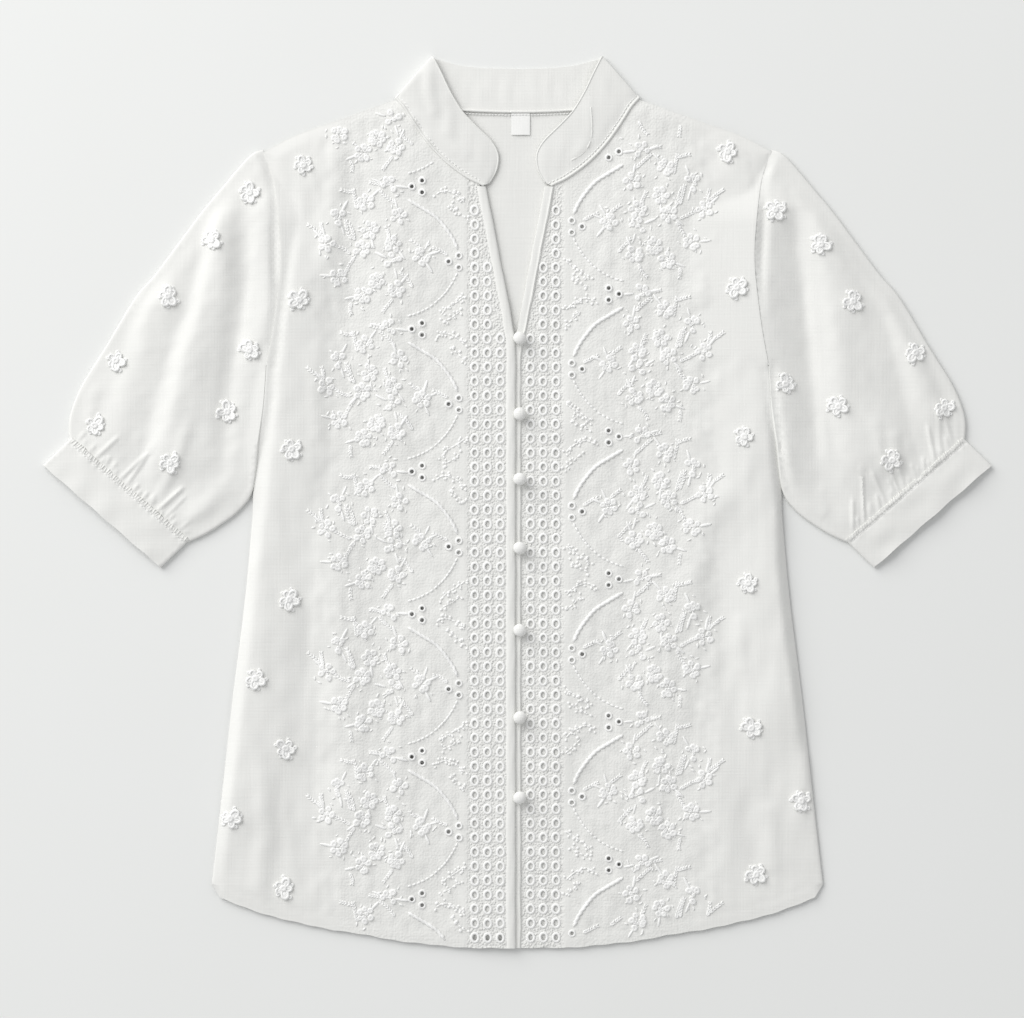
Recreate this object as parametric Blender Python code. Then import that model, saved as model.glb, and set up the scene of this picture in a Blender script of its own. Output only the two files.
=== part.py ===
# Cotton blouse in eyelet embroidery with a stand collar and short gathered sleeves,
# laid flat on its back with the front up and the loop fastening closed.
# The frame: +X is the side of the blouse's left sleeve, +Y runs from hem to collar, +Z is up.
# Sizes and tables are in millimetres. MM turns them to metres where a mesh is made.

import math
from collections import namedtuple

import bpy
from mathutils import Vector
from mathutils.geometry import delaunay_2d_cdt

MM = 0.001

CLOTH = 1.2             # wall of a cloth piece
SEAM_GAP = 0.3          # between pieces sewn together, and between layers
BACK_TOP = CLOTH        # the back lies on the table, from 0 to here
FRONT_FLOOR = BACK_TOP + SEAM_GAP
FRONT_REST = 1.1        # air between the two layers away from the edges
SETTLE = 20.0           # width of the stretch where a layer comes down to its edge

CENTRE_LINE = -1.5      # x of the closed front edge
V_BOTTOM = 138.4        # the neck slit is open above this height
V_TOP = 253.2
UNDERLAP = 3.0          # how far the left front reaches under the right one
BAND_WIDTH = 7.5        # binding of the front edges
BAND_THICK = 1.8
BAND_LIFT = 2.1         # the right binding lies this much higher, on the left one
LIFT_WIDTH = 46.0       # the right front comes down over this width
LIFT_AT_NECK = 0.35     # share of the lift that is left beside the collar
LIFT_FALL = 60.0        # height above the slit's bottom over which the lift goes
UNDERLAP_RUN = 30.0     # height over which the underlap grows from nothing
UNDERLAP_START = V_BOTTOM + 6
BAND_SIDE = 1.3         # soft side of the binding

EYELET_COLUMNS = (12.1, 22.3, 32.5)
EYELET_PITCH = 11.4
EYELET_ROWS = 53
EYELET_LOWEST = -347.5
EYELET_HALF_WIDTH = 2.2
EYELET_HALF_HEIGHT = 2.6
EYELET_SIDES = 5
EYELET_CLEARANCE = 10.6  # from a hole's middle to the front edge
NECK_CLEARANCE = 5.0

REPEAT = 114.0          # height of one repeat of the embroidery, ten rows of eyelets
LEFT_PHASE = 107.0
RIGHT_PHASE = 193.0
TRIO_OUT = 43.0
BOSS_RADIUS = 7.4       # an embroidered flower of the band
BOSS_RISE = 1.0
APPLIQUE_RADIUS = 8.8   # a looped flower that stands by itself
APPLIQUE_RISE = 2.4

BUTTON_DROPS = (0.0, 60.5, 112.5, 167.7, 233.3, 302.9, 366.9)
BUTTON_FIRST = 131.7
BUTTON_X = 1.9
BUTTON_SEGMENTS = 8
LOOP_RADIUS = 0.7
LOOP_SIDES = 5

CUFF_DEPTH = 30.3
CUFF_SKEW = 2.8         # the cuff's free edge lies this much further out than its seam
CUFF_RISE = 1.5
CUFF_STEPS = 8
SIDE_WALL = 1.4         # cloth at a folded edge of a flattened tube
THIN_AIR = 0.3          # least height of the air inside a flattened tube
SLEEVE_EDGE_TOP = 2.9
SLEEVE_REST = 1.5
GATHERS = 11            # small pleats that show above a cuff
GATHER_REACH = 34.0
GATHER_RISE = 0.8
PLEAT_ROWS = (12.0, 26.0)  # distances from the cuff seam at which a pleat has its own points
HEAD_REST = 0.25        # share of the sleeve's air that is left at the armhole
HEAD_FOLDS = 0.3        # share of its folds that is left there

FRONT_SPACING = 23.0    # between the free points of a triangulated layer
SLEEVE_SPACING = 17.0
CUFF_SPACING = 15.0
BACK_SPACING = 120.0
FLOWER_SPACING = 17.0   # free points keep this far from a flower
EYELET_SPACING = 12.0
PLEAT_SPACING = 11.0

LABEL_SIZE = (15.0, 17.6, 0.6)
LABEL_MIDDLE = (2.5, 303.4)

# Half outlines, measured outward from the middle of the blouse.
Place = namedtuple("Place", "out up")

HEM = [Place(0, -356.4), Place(50, -355), Place(81, -352), Place(114, -347), Place(175, -336),
       Place(212, -325.5), Place(238, -316)]
SIDE = [Place(244.6, -305), Place(237, -239), Place(228, -157.6), Place(218, -77.6),
        Place(212.2, -13), Place(211.2, 12), Place(206.8, 49), Place(202.6, 79), Place(200.4, 109.6)]
ARMHOLE = [Place(200.4, 109.6), Place(195.8, 134.4), Place(192.4, 158.4), Place(189.2, 190.4),
           Place(190.2, 220), Place(195, 257), Place(203, 281)]
SHOULDER = [Place(203, 281), Place(178, 294), Place(140, 307.5), Place(97, 323)]
FRONT_NECK = [Place(97, 323), Place(85.5, 309), Place(72.8, 290.5), Place(56.6, 273.3),
              Place(38.4, 259.8)]
BACK_NECK = [Place(97, 323), Place(70, 317.3), Place(45, 313.9), Place(20, 312.9), Place(0, 312.7)]

# The bound front edge, outward from the centre line.
FRONT_EDGE = [Place(23.6, V_TOP), Place(18.6, 228), Place(12.4, 196), Place(6, 163),
              Place(1.6, V_BOTTOM), Place(0, 118), Place(0, 0), Place(0, -120), Place(0, -240),
              Place(0, -356)]

SLEEVE_OUTER = [Place(203.6, 281.2), Place(214, 276), Place(236, 250.5), Place(253, 230),
                Place(276, 199), Place(290, 180.5), Place(305, 163), Place(329, 123),
                Place(347.5, 93), Place(356.6, 69), Place(356.7, 50.8)]
SLEEVE_INNER = [Place(200.9, 109.4), Place(203.1, 79), Place(207.5, 49), Place(212.6, 12),
                Place(223, -4.5), Place(239.7, -17.3), Place(252, -24.6), Place(263.8, -30)]

# One row for each line across the collar: its sewn edge, its free edge, and both heights
# of the middle of the cloth. The rows run from the front end of a wing to the fold.
WingLine = namedtuple("WingLine", "seam_out seam_up top_out top_up seam_z top_z")
WING = [
    WingLine(25.6, 254.6, 22.4, 256.2, 2.3, 2.4),
    WingLine(29.6, 256.8, 16.8, 266.0, 2.3, 2.6),
    WingLine(33.8, 259.0, 15.0, 276.0, 2.4, 2.9),
    WingLine(37.9, 261.2, 16.6, 283.0, 2.5, 3.2),
    WingLine(46.7, 267.0, 21.5, 290.6, 2.7, 3.6),
    WingLine(55.9, 274.3, 28.4, 297.4, 2.9, 4.0),
    WingLine(64.5, 282.8, 36.0, 304.8, 3.1, 4.3),
    WingLine(71.8, 291.4, 43.6, 313.0, 3.3, 4.6),
    WingLine(78.9, 301.4, 49.6, 322.2, 3.5, 4.9),
    WingLine(84.4, 309.8, 55.0, 332.0, 3.7, 5.1),
    WingLine(89.4, 317.8, 59.6, 342.0, 3.9, 5.3),
]
FOLD_SEAM = Place(96.0, 325.2)
FOLD_TOP = Place(68.0, 357.0)
FOLD_HEIGHTS = (3.4, 4.9)        # how far the wing stands over the collar's back, seam and top
FOLD_STEPS = 5
BackLine = namedtuple("BackLine", "seam_out seam_up top_out top_up")
COLLAR_BACK = [
    BackLine(84.0, 321.5, 58.6, 353.4),
    BackLine(66.0, 317.7, 46.0, 350.2),
    BackLine(45.0, 314.9, 31.0, 348.4),
    BackLine(22.0, 313.7, 15.0, 347.7),
    BackLine(0.0, 313.3, 0.0, 347.5),
]
COLLAR_STEPS = 4                 # divisions across the collar

# Soft folds of the cloth: a ridge, or a trough where the rise is negative.
Fold = namedtuple("Fold", "x1 y1 x2 y2 reach rise")
FRONT_FOLDS = [
    Fold(-138, 282, -150, 120, 30, -0.9),
    Fold(-150, 90, -138, -70, 30, -0.8),
    Fold(-112, 240, -98, 60, 32, 0.9),
    Fold(-196, -20, -184, -150, 30, -0.8),
    Fold(-184, -170, -188, -290, 32, -0.9),
    Fold(-216, -90, -222, -260, 26, 1.1),
    Fold(-120, -120, -128, -300, 34, 1.0),
    Fold(-170, 60, -166, -60, 28, 0.9),
    Fold(178, 118, 162, 66, 30, 1.2),
    Fold(162, 66, 140, -80, 30, 1.0),
    Fold(176, 26, 172, -96, 28, -0.9),
    Fold(128, 250, 134, 130, 30, -0.8),
    Fold(108, -60, 116, -220, 34, 0.9),
    Fold(190, -190, 188, -280, 30, -0.9),
    Fold(214, -60, 226, -240, 26, 1.0),
    Fold(150, -150, 156, -300, 28, 0.7),
]
SLEEVE_FOLDS = {
    -1: [
        Fold(-214, 242, -206, 140, 22, 1.2),
        Fold(-240, 226, -238, 60, 24, -1.0),
        Fold(-262, 172, -294, 44, 24, 1.2),
        Fold(-298, 136, -322, 30, 20, -0.9),
        Fold(-332, 106, -338, 50, 18, 0.8),
        Fold(-222, 70, -262, 2, 22, 0.9),
    ],
    1: [
        Fold(200, 250, 206, 142, 22, 1.1),
        Fold(218, 240, 216, 100, 22, -1.2),
        Fold(216, 90, 232, 20, 20, -0.8),
        Fold(244, 214, 266, 30, 24, 1.2),
        Fold(270, 196, 316, 28, 20, -0.8),
        Fold(300, 150, 330, 50, 20, 0.9),
    ],
}

# Flowers of one repeat, outward from the upper pair of eyelets and upward from it.
Flower = namedtuple("Flower", "out up")
BAND_FLOWERS = [
    Flower(29, 4), Flower(51, 16), Flower(54, -1), Flower(76, 11), Flower(104, 13), Flower(95, -12),
    Flower(67, -15), Flower(46, -25), Flower(77, -30), Flower(52, -52), Flower(47, -79),
    Flower(75, -67), Flower(94, -80), Flower(67, -88),
]
# Looped flowers that stand by themselves, at their places on the laid blouse.
APPLIQUES_RIGHT = [Place(-171, 270), Place(-174, 162), Place(-180, 43), Place(-182, -77),
                   Place(-185, -196), Place(-187, -308), Place(-229, -252), Place(-209, -140)]
APPLIQUES_LEFT = [Place(168, 281), Place(175, 172), Place(181, 53), Place(184, -64),
                  Place(187, -180), Place(191, -297), Place(227, -238)]
SLEEVE_APPLIQUES = {
    -1: [Place(-214, 248), Place(-244, 210), Place(-279, 165), Place(-321, 114), Place(-214, 122),
         Place(-232, 73), Place(-277, 32), Place(-338, 62)],
    1: [Place(206, 234), Place(242, 206), Place(268, 161), Place(318, 120), Place(214, 95),
        Place(256, 77), Place(299, 34), Place(341, 76)],
}


class Skin:
    # Corners and faces of one closed surface. Corners in the same place are the same corner.
    def __init__(self):
        self.corners = []
        self.faces = []
        self.known = {}

    def corner(self, x, y, z):
        key = (round(x, 3), round(y, 3), round(z, 3))
        if key not in self.known:
            self.known[key] = len(self.corners)
            self.corners.append((x, y, z))
        return self.known[key]

    def face(self, *places):
        ring = [self.corner(*place) for place in places]
        ring = [corner for i, corner in enumerate(ring) if corner != ring[i - 1]]
        if len(ring) > 2:
            self.faces.append(ring)


def clamp(value, low=0.0, high=1.0):
    return max(low, min(high, value))


def smooth_step(value):
    t = clamp(value)
    return t * t * (3 - 2 * t)


def curve(table, step):
    # A smooth line through a table's places, with a point about every step.
    places = [Vector(place) for place in table]
    line = [tuple(places[0])]
    for i in range(len(places) - 1):
        start, end = places[i], places[i + 1]
        before = places[max(i - 1, 0)]
        after = places[min(i + 2, len(places) - 1)]
        count = max(1, round((end - start).length / step))
        for k in range(1, count + 1):
            t = k / count
            point = 0.5 * (2 * start + (end - before) * t
                           + (2 * before - 5 * start + 4 * end - after) * t ** 2
                           + (3 * start - before - 3 * end + after) * t ** 3)
            line.append((point.x, point.y))
    return line


def joined(*lines):
    # Lines that meet end to end, as one loop that runs anticlockwise.
    loop = []
    for line in lines:
        for point in line:
            if not loop or math.dist(point, loop[-1]) > 0.05:
                loop.append(point)
    if math.dist(loop[0], loop[-1]) < 0.05:
        loop.pop()
    turn = sum(a[0] * b[1] - b[0] * a[1] for a, b in zip(loop, loop[1:] + loop[:1]))
    return loop if turn > 0 else loop[::-1]


def distance_to_line(x, y, line):
    nearest = math.inf
    for (ax, ay), (bx, by) in zip(line, line[1:]):
        dx, dy = bx - ax, by - ay
        length = dx * dx + dy * dy
        t = clamp(((x - ax) * dx + (y - ay) * dy) / length) if length else 0.0
        nearest = min(nearest, math.hypot(x - ax - t * dx, y - ay - t * dy))
    return nearest


def fold_height(x, y, folds):
    total = 0.0
    for fold in folds:
        away = distance_to_line(x, y, [(fold.x1, fold.y1), (fold.x2, fold.y2)])
        total += fold.rise * math.cos(math.pi / 2 * clamp(away / fold.reach)) ** 2
    return total


def is_inside(x, y, loop):
    inside = False
    for (ax, ay), (bx, by) in zip(loop, loop[1:] + loop[:1]):
        if (ay > y) != (by > y) and x < ax + (y - ay) * (bx - ax) / (by - ay):
            inside = not inside
    return inside


def spread_points(loop, spacing, margin, keep_clear):
    # A triangular grid of points inside a loop, away from its edge and from other points.
    points = []
    row_step = spacing * math.sqrt(3) / 2
    xs = [x for x, _ in loop]
    ys = [y for _, y in loop]
    closed = loop + loop[:1]
    rows = int((max(ys) - min(ys)) / row_step) + 1
    columns = int((max(xs) - min(xs)) / spacing) + 1
    for row in range(rows):
        for column in range(columns):
            x = min(xs) + (column + 0.5 * (row % 2) + 0.25) * spacing
            y = min(ys) + (row + 0.5) * row_step
            if not is_inside(x, y, loop) or distance_to_line(x, y, closed) < margin:
                continue
            if all(math.hypot(x - px, y - py) > reach for px, py, reach in keep_clear):
                points.append((x, y))
    return points


def patch(skin, loop, holes, loose, height, faces_up):
    # A triangulated layer over a plan outline, with its heights from a function of x and y.
    points = list(loop)
    edges = [(i, (i + 1) % len(loop)) for i in range(len(loop))]
    hole_of = {}
    for number, hole in enumerate(holes):
        first = len(points)
        points.extend(hole)
        for i in range(len(hole)):
            edges.append((first + i, first + (i + 1) % len(hole)))
            hole_of[first + i] = number
    points.extend(loose)
    result = delaunay_2d_cdt([Vector(point) for point in points], edges, [], 1, 1e-5)
    source = [origin[0] for origin in result[3]]
    for face in result[2]:
        names = [source[i] for i in face]
        rims = {hole_of.get(name) for name in names}
        if len(rims) == 1 and None not in rims:
            continue
        corners = [points[name] for name in names]
        (ax, ay), (bx, by), (cx, cy) = corners
        upward = (bx - ax) * (cy - ay) - (cx - ax) * (by - ay) > 0
        if upward != faces_up:
            corners.reverse()
        skin.face(*[(x, y, height(x, y)) for x, y in corners])


def upright(skin, a, b, low, high):
    # One face between two layers, seen from the right of the way from a to b.
    skin.face((*a, low(*a)), (*b, low(*b)), (*b, high(*b)), (*a, high(*a)))


def add_object(name, corners, faces, material, parent, location=(0, 0, 0)):
    mesh = bpy.data.meshes.new(name)
    mesh.from_pydata([[value * MM for value in corner] for corner in corners], [], faces)
    mesh.validate()
    mesh.materials.append(material)
    item = bpy.data.objects.new(name, mesh)
    item.location = [value * MM for value in location]
    item.parent = parent
    bpy.context.scene.collection.objects.link(item)
    return item


def cloth_material(name, colour, roughness):
    material = bpy.data.materials.new(name)
    material.use_nodes = True
    shader = material.node_tree.nodes["Principled BSDF"]
    shader.inputs["Base Color"].default_value = (*colour, 1.0)
    shader.inputs["Roughness"].default_value = roughness
    shader.inputs["Metallic"].default_value = 0.0
    material.diffuse_color = (*colour, 1.0)
    return material


def mirrored(line, side):
    return [(side * x, y) for x, y in line]


EDGE_LINE = curve(FRONT_EDGE, 20)
HEM_LINE = curve(HEM, 26)
SIDE_LINE = curve(SIDE, 24)
ARMHOLE_LINE = curve(ARMHOLE, 16)
SHOULDER_LINE = curve(SHOULDER, 24)
NECK_LINE = curve(FRONT_NECK, 12)


def edge_out(y, side):
    # How far the bound edge lies from the middle of the blouse at one height.
    for (ax, ay), (bx, by) in zip(EDGE_LINE, EDGE_LINE[1:]):
        if by <= y <= ay:
            out = ax + (bx - ax) * (ay - y) / (ay - by)
            break
    else:
        out = EDGE_LINE[0][0] if y > 0 else 0.0
    if side > 0:
        out -= UNDERLAP * smooth_step((UNDERLAP_START - y) / UNDERLAP_RUN)
    return out + side * CENTRE_LINE


def band_lift(y, side):
    # The right binding rides on the left one below the slit and comes down above it.
    if side > 0:
        return 0.0
    share = smooth_step((V_BOTTOM + LIFT_FALL - y) / LIFT_FALL)
    return BAND_LIFT * (LIFT_AT_NECK + (1 - LIFT_AT_NECK) * share)


def front_outline(side):
    panel_in = BAND_WIDTH + SEAM_GAP
    inner = [(edge_out(y, side) + panel_in, y) for _, y in EDGE_LINE if -340 < y < 245]
    corner = (edge_out(-350, side) + panel_in, -356.2)
    neck_end = (edge_out(V_TOP, side) + panel_in + SEAM_GAP, V_TOP + 3)
    hem = [point for point in HEM_LINE if point[0] > corner[0] + 6]
    return joined([corner] + hem, SIDE_LINE, ARMHOLE_LINE, SHOULDER_LINE, NECK_LINE,
                  [neck_end], inner)


def eyelet_holes(side):
    holes = []
    turns = [2 * math.pi * (k + 0.5) / EYELET_SIDES for k in range(EYELET_SIDES)]
    for row in range(EYELET_ROWS):
        y = EYELET_LOWEST + row * EYELET_PITCH
        for column in EYELET_COLUMNS:
            x = column + side * CENTRE_LINE
            beside = x - edge_out(y, side)
            if beside < EYELET_CLEARANCE or distance_to_line(x, y, NECK_LINE) < NECK_CLEARANCE:
                continue
            holes.append([(side * (x + EYELET_HALF_WIDTH * math.cos(turn)),
                           y + EYELET_HALF_HEIGHT * math.sin(turn)) for turn in turns])
    return holes


def band_flowers(side, loop):
    phase = LEFT_PHASE if side > 0 else RIGHT_PHASE
    closed = loop + loop[:1]
    flowers = []
    for repeat in range(-2, 6):
        for flower in BAND_FLOWERS:
            x = side * (TRIO_OUT + flower.out) + CENTRE_LINE
            y = phase - repeat * REPEAT + flower.up
            if is_inside(x, y, loop) and distance_to_line(x, y, closed) > BOSS_RADIUS + 2.5:
                flowers.append((x, y))
    return flowers


def ring_points(x, y, radius, count, turn=0.0):
    return [(x + radius * math.cos(turn + 2 * math.pi * k / count),
             y + radius * math.sin(turn + 2 * math.pi * k / count)) for k in range(count)]


def applique_points(x, y, turn=math.pi / 2):
    # A looped flower: a low middle, five high petals, notches between them, and its foot.
    notch = turn + math.pi / 5
    points = {(x, y): 0.55 * APPLIQUE_RISE}
    for point in ring_points(x, y, 0.58 * APPLIQUE_RADIUS, 5, turn):
        points[point] = APPLIQUE_RISE
    for point in ring_points(x, y, 0.62 * APPLIQUE_RADIUS, 5, notch):
        points[point] = 0.25 * APPLIQUE_RISE
    for point in ring_points(x, y, APPLIQUE_RADIUS, 5, turn):
        points[point] = 0.0
    return points


def boss_points(x, y):
    points = {(x, y): BOSS_RISE}
    for point in ring_points(x, y, BOSS_RADIUS, 5, math.pi / 2):
        points[point] = 0.0
    return points


def raised(points_of_flowers):
    every = {}
    for points in points_of_flowers:
        every.update(points)
    return every


def build_front(name, side, appliques, material, parent):
    loop = [(side * x, y) for x, y in front_outline(side)]
    loop = joined(loop)
    holes = eyelet_holes(side)
    flowers = band_flowers(side, loop)
    outer_edge = mirrored(HEM_LINE + SIDE_LINE + ARMHOLE_LINE + SHOULDER_LINE, side)

    def floor(x, y):
        settle = smooth_step(distance_to_line(x, y, outer_edge) / SETTLE)
        rise = (FRONT_REST + fold_height(x, y, FRONT_FOLDS)) * settle
        beside = side * x - edge_out(y, side) - BAND_WIDTH
        lift = band_lift(y, side) + (SEAM_GAP if side < 0 else 0.0)
        near_edge = 1 - smooth_step(beside / LIFT_WIDTH)
        return FRONT_FLOOR + max(0.0, rise) * (1 - near_edge) + lift * near_edge

    bumps = raised([boss_points(*flower) for flower in flowers]
                   + [applique_points(*place) for place in appliques])

    def roof(x, y):
        return floor(x, y) + CLOTH + bumps.get((x, y), 0.0)

    clear = [(x, y, FLOWER_SPACING) for x, y in flowers + appliques]
    clear += [(side * column + CENTRE_LINE, EYELET_LOWEST + row * EYELET_PITCH, EYELET_SPACING)
              for column in EYELET_COLUMNS for row in range(EYELET_ROWS)]
    grid = spread_points(loop, FRONT_SPACING, FRONT_SPACING / 3, clear)
    skin = Skin()
    patch(skin, loop, holes, grid + list(bumps), roof, True)
    patch(skin, loop, holes, grid + flowers + [tuple(place) for place in appliques], floor, False)
    for a, b in zip(loop, loop[1:] + loop[:1]):
        upright(skin, a, b, floor, roof)
    for hole in holes:
        ring = joined(hole)
        for a, b in zip(ring, ring[1:] + ring[:1]):
            upright(skin, b, a, floor, roof)
    add_object(name, skin.corners, skin.faces, material, parent)


def build_back(material, parent):
    half = HEM_LINE + SIDE_LINE + ARMHOLE_LINE + SHOULDER_LINE + curve(BACK_NECK, 25)
    loop = joined(half, mirrored(half, -1)[::-1])
    skin = Skin()
    grid = spread_points(loop, BACK_SPACING, BACK_SPACING / 4, [])
    patch(skin, loop, [], grid, lambda x, y: BACK_TOP, True)
    patch(skin, loop, [], grid, lambda x, y: 0.0, False)
    for a, b in zip(loop, loop[1:] + loop[:1]):
        upright(skin, a, b, lambda x, y: 0.0, lambda x, y: BACK_TOP)
    add_object("back", skin.corners, skin.faces, material, parent)


def build_band(name, side, material, parent):
    # The binding of one front edge, a flat strip with soft sides.
    profile = [(0.0, 0.5), (BAND_SIDE, 1.0), (BAND_WIDTH - BAND_SIDE, 1.0), (BAND_WIDTH, 0.5),
               (BAND_WIDTH - BAND_SIDE, 0.0), (BAND_SIDE, 0.0)]
    rings = []
    for _, y in EDGE_LINE:
        base = FRONT_FLOOR + band_lift(y, side)
        rings.append([(side * (edge_out(y, side) + across), y, base + high * BAND_THICK)
                      for across, high in profile])
    corners = [corner for ring in rings for corner in ring]
    count = len(profile)
    faces = []
    for i in range(len(rings) - 1):
        for k in range(count):
            m = (k + 1) % count
            faces.append([i * count + k, i * count + m, (i + 1) * count + m, (i + 1) * count + k])
    faces.append(list(range(count))[::-1])
    faces.append([(len(rings) - 1) * count + k for k in range(count)])
    if side < 0:
        faces = [face[::-1] for face in faces]
    add_object(name, corners, [face[::-1] for face in faces], material, parent)


def tube_layers(name, outer, end, inner, start, roof, loose, bumps, material, parent):
    # A flattened tube of cloth, open at its start and its end. The four lines go round its plan.
    ends = set(start) | set(end)
    loop = joined(outer, end, inner[::-1], start)
    count = len(loop)
    cavity = []
    for i, point in enumerate(loop):
        before, after = loop[i - 1], loop[(i + 1) % count]
        on_end = point in ends
        corner = on_end and not (before in ends and after in ends)
        if on_end and not corner:
            cavity.append(point)
            continue
        if corner:
            toward = Vector(before if before in ends else after) - Vector(point)
            move = toward.normalized() * SIDE_WALL
        else:
            along = (Vector(after) - Vector(before)).normalized()
            move = Vector((-along.y, along.x)) * SIDE_WALL
        cavity.append((point[0] + move.x, point[1] + move.y))

    def top(x, y):
        return roof(x, y) + bumps.get((x, y), 0.0)

    def ceiling(x, y):
        return max(roof(x, y) - CLOTH, CLOTH + THIN_AIR)

    def table(x, y):
        return 0.0

    def floor(x, y):
        return CLOTH

    skin = Skin()
    patch(skin, loop, [], loose + list(bumps), top, True)
    patch(skin, loop, [], [], table, False)
    patch(skin, cavity, [], loose, ceiling, False)
    patch(skin, cavity, [], [], floor, True)
    for i in range(count):
        k = (i + 1) % count
        if same_end(loop[i], loop[k], start, end):
            a, b, c, d = loop[i], loop[k], cavity[i], cavity[k]
            skin.face((*c, ceiling(*c)), (*d, ceiling(*d)), (*b, top(*b)), (*a, top(*a)))
            skin.face((*a, 0.0), (*b, 0.0), (*d, CLOTH), (*c, CLOTH))
        else:
            upright(skin, loop[i], loop[k], table, top)
            upright(skin, cavity[k], cavity[i], floor, ceiling)
    for i, point in enumerate(loop):
        before, after = loop[i - 1], loop[(i + 1) % count]
        if point in ends and not (before in ends and after in ends):
            hole = cavity[i]
            side_face = [(*point, 0.0), (*hole, CLOTH), (*hole, ceiling(*hole)), (*point, top(*point))]
            if before in ends:
                side_face.reverse()
            skin.face(*side_face)
    add_object(name, skin.corners, skin.faces, material, parent)


def same_end(a, b, start, end):
    return (a in start and b in start) or (a in end and b in end)


def seam_line(side):
    # The seam between sleeve and cuff, from the outer edge to the underarm edge.
    outer, inner = Vector(SLEEVE_OUTER[-1]), Vector(SLEEVE_INNER[-1])
    steps = 2 * GATHERS
    return [tuple(outer.lerp(inner, k / steps)) for k in range(steps + 1)]


def build_sleeve(name, side, material, parent):
    outer = mirrored(curve(SLEEVE_OUTER, 20), side)
    inner = mirrored(curve(SLEEVE_INNER, 22), side)
    outer = [(round(x, 4), round(y, 4)) for x, y in outer]
    inner = [(round(x, 4), round(y, 4)) for x, y in inner]
    end = [(round(side * x, 4), round(y, 4)) for x, y in seam_line(side)]
    armhole = [(out + SEAM_GAP + 0.1, up) for out, up in ARMHOLE_LINE[1:-1]]
    start = [inner[0]] + [(round(side * x, 4), round(y, 4)) for x, y in armhole] + [outer[0]]
    end[0], end[-1] = outer[-1], inner[-1]
    loop = joined(outer, end, inner[::-1], start)
    edges = [outer, inner]
    seam_start, seam_end = Vector(end[0]), Vector(end[-1])
    seam_way = (seam_end - seam_start).normalized()
    seam_length = (seam_end - seam_start).length

    def roof(x, y):
        settle = smooth_step(min(distance_to_line(x, y, line) for line in edges) / SETTLE)
        head = smooth_step(distance_to_line(x, y, start) / SETTLE)
        seam_away = distance_to_line(x, y, end)
        along = (Vector((x, y)) - seam_start).dot(seam_way) / seam_length
        wave = -math.cos(2 * math.pi * GATHERS * clamp(along))
        gather = GATHER_RISE * wave * smooth_step(1 - seam_away / GATHER_REACH)
        folds = fold_height(x, y, SLEEVE_FOLDS[side]) * (HEAD_FOLDS + (1 - HEAD_FOLDS) * head)
        rest = SLEEVE_REST * (HEAD_REST + (1 - HEAD_REST) * head)
        return SLEEVE_EDGE_TOP + settle * (rest + folds + gather)

    appliques = SLEEVE_APPLIQUES[side]
    normal = Vector((-seam_way.y, seam_way.x))
    inward = normal if is_inside(*(seam_start.lerp(seam_end, 0.5) + normal * 5), loop) else -normal
    pleats = []
    for row, away in enumerate(PLEAT_ROWS):
        for k in range(1, 2 * GATHERS, 1 + row):
            place = seam_start.lerp(seam_end, k / (2 * GATHERS)) + inward * away
            to_edge = min(distance_to_line(*place, line) for line in edges)
            to_flower = min(math.dist(place, flower) for flower in appliques)
            if is_inside(*place, loop) and to_edge > 5 and to_flower > APPLIQUE_RADIUS + 3:
                pleats.append(tuple(place))
    bumps = raised([applique_points(*place) for place in appliques])
    clear = [(*place, FLOWER_SPACING) for place in appliques]
    clear += [(*pleat, PLEAT_SPACING) for pleat in pleats]
    grid = spread_points(loop, SLEEVE_SPACING, SLEEVE_SPACING / 2.5, clear)
    tube_layers(name, outer, end, inner, start, roof, grid + pleats, bumps, material, parent)


def build_cuff(name, side, material, parent):
    seam = seam_line(side)
    way = (Vector(seam[-1]) - Vector(seam[0])).normalized()
    down = Vector((-way.y, way.x))
    if down.y > 0:
        down = -down
    first = Vector(seam[0]) + down * SEAM_GAP
    last = Vector(seam[-1]) + down * SEAM_GAP

    def line(a, b, count):
        return [(round(side * p.x, 4), round(p.y, 4))
                for p in (a.lerp(b, k / count) for k in range(count + 1))]

    start = line(last, first, CUFF_STEPS)
    drop = down * CUFF_DEPTH - way * CUFF_SKEW
    end = line(first + drop, last + drop, CUFF_STEPS)
    outer = line(first, first + drop, 2)
    inner = line(last, last + drop, 2)
    folded = [outer, inner]
    loop = joined(outer, end, inner[::-1], start)

    def roof(x, y):
        settle = smooth_step(min(distance_to_line(x, y, edge) for edge in folded) / SETTLE)
        return SLEEVE_EDGE_TOP + CUFF_RISE * settle

    grid = spread_points(loop, CUFF_SPACING, CUFF_SPACING / 3, [])
    tube_layers(name, outer, end, inner, start, roof, grid, {}, material, parent)


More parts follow.
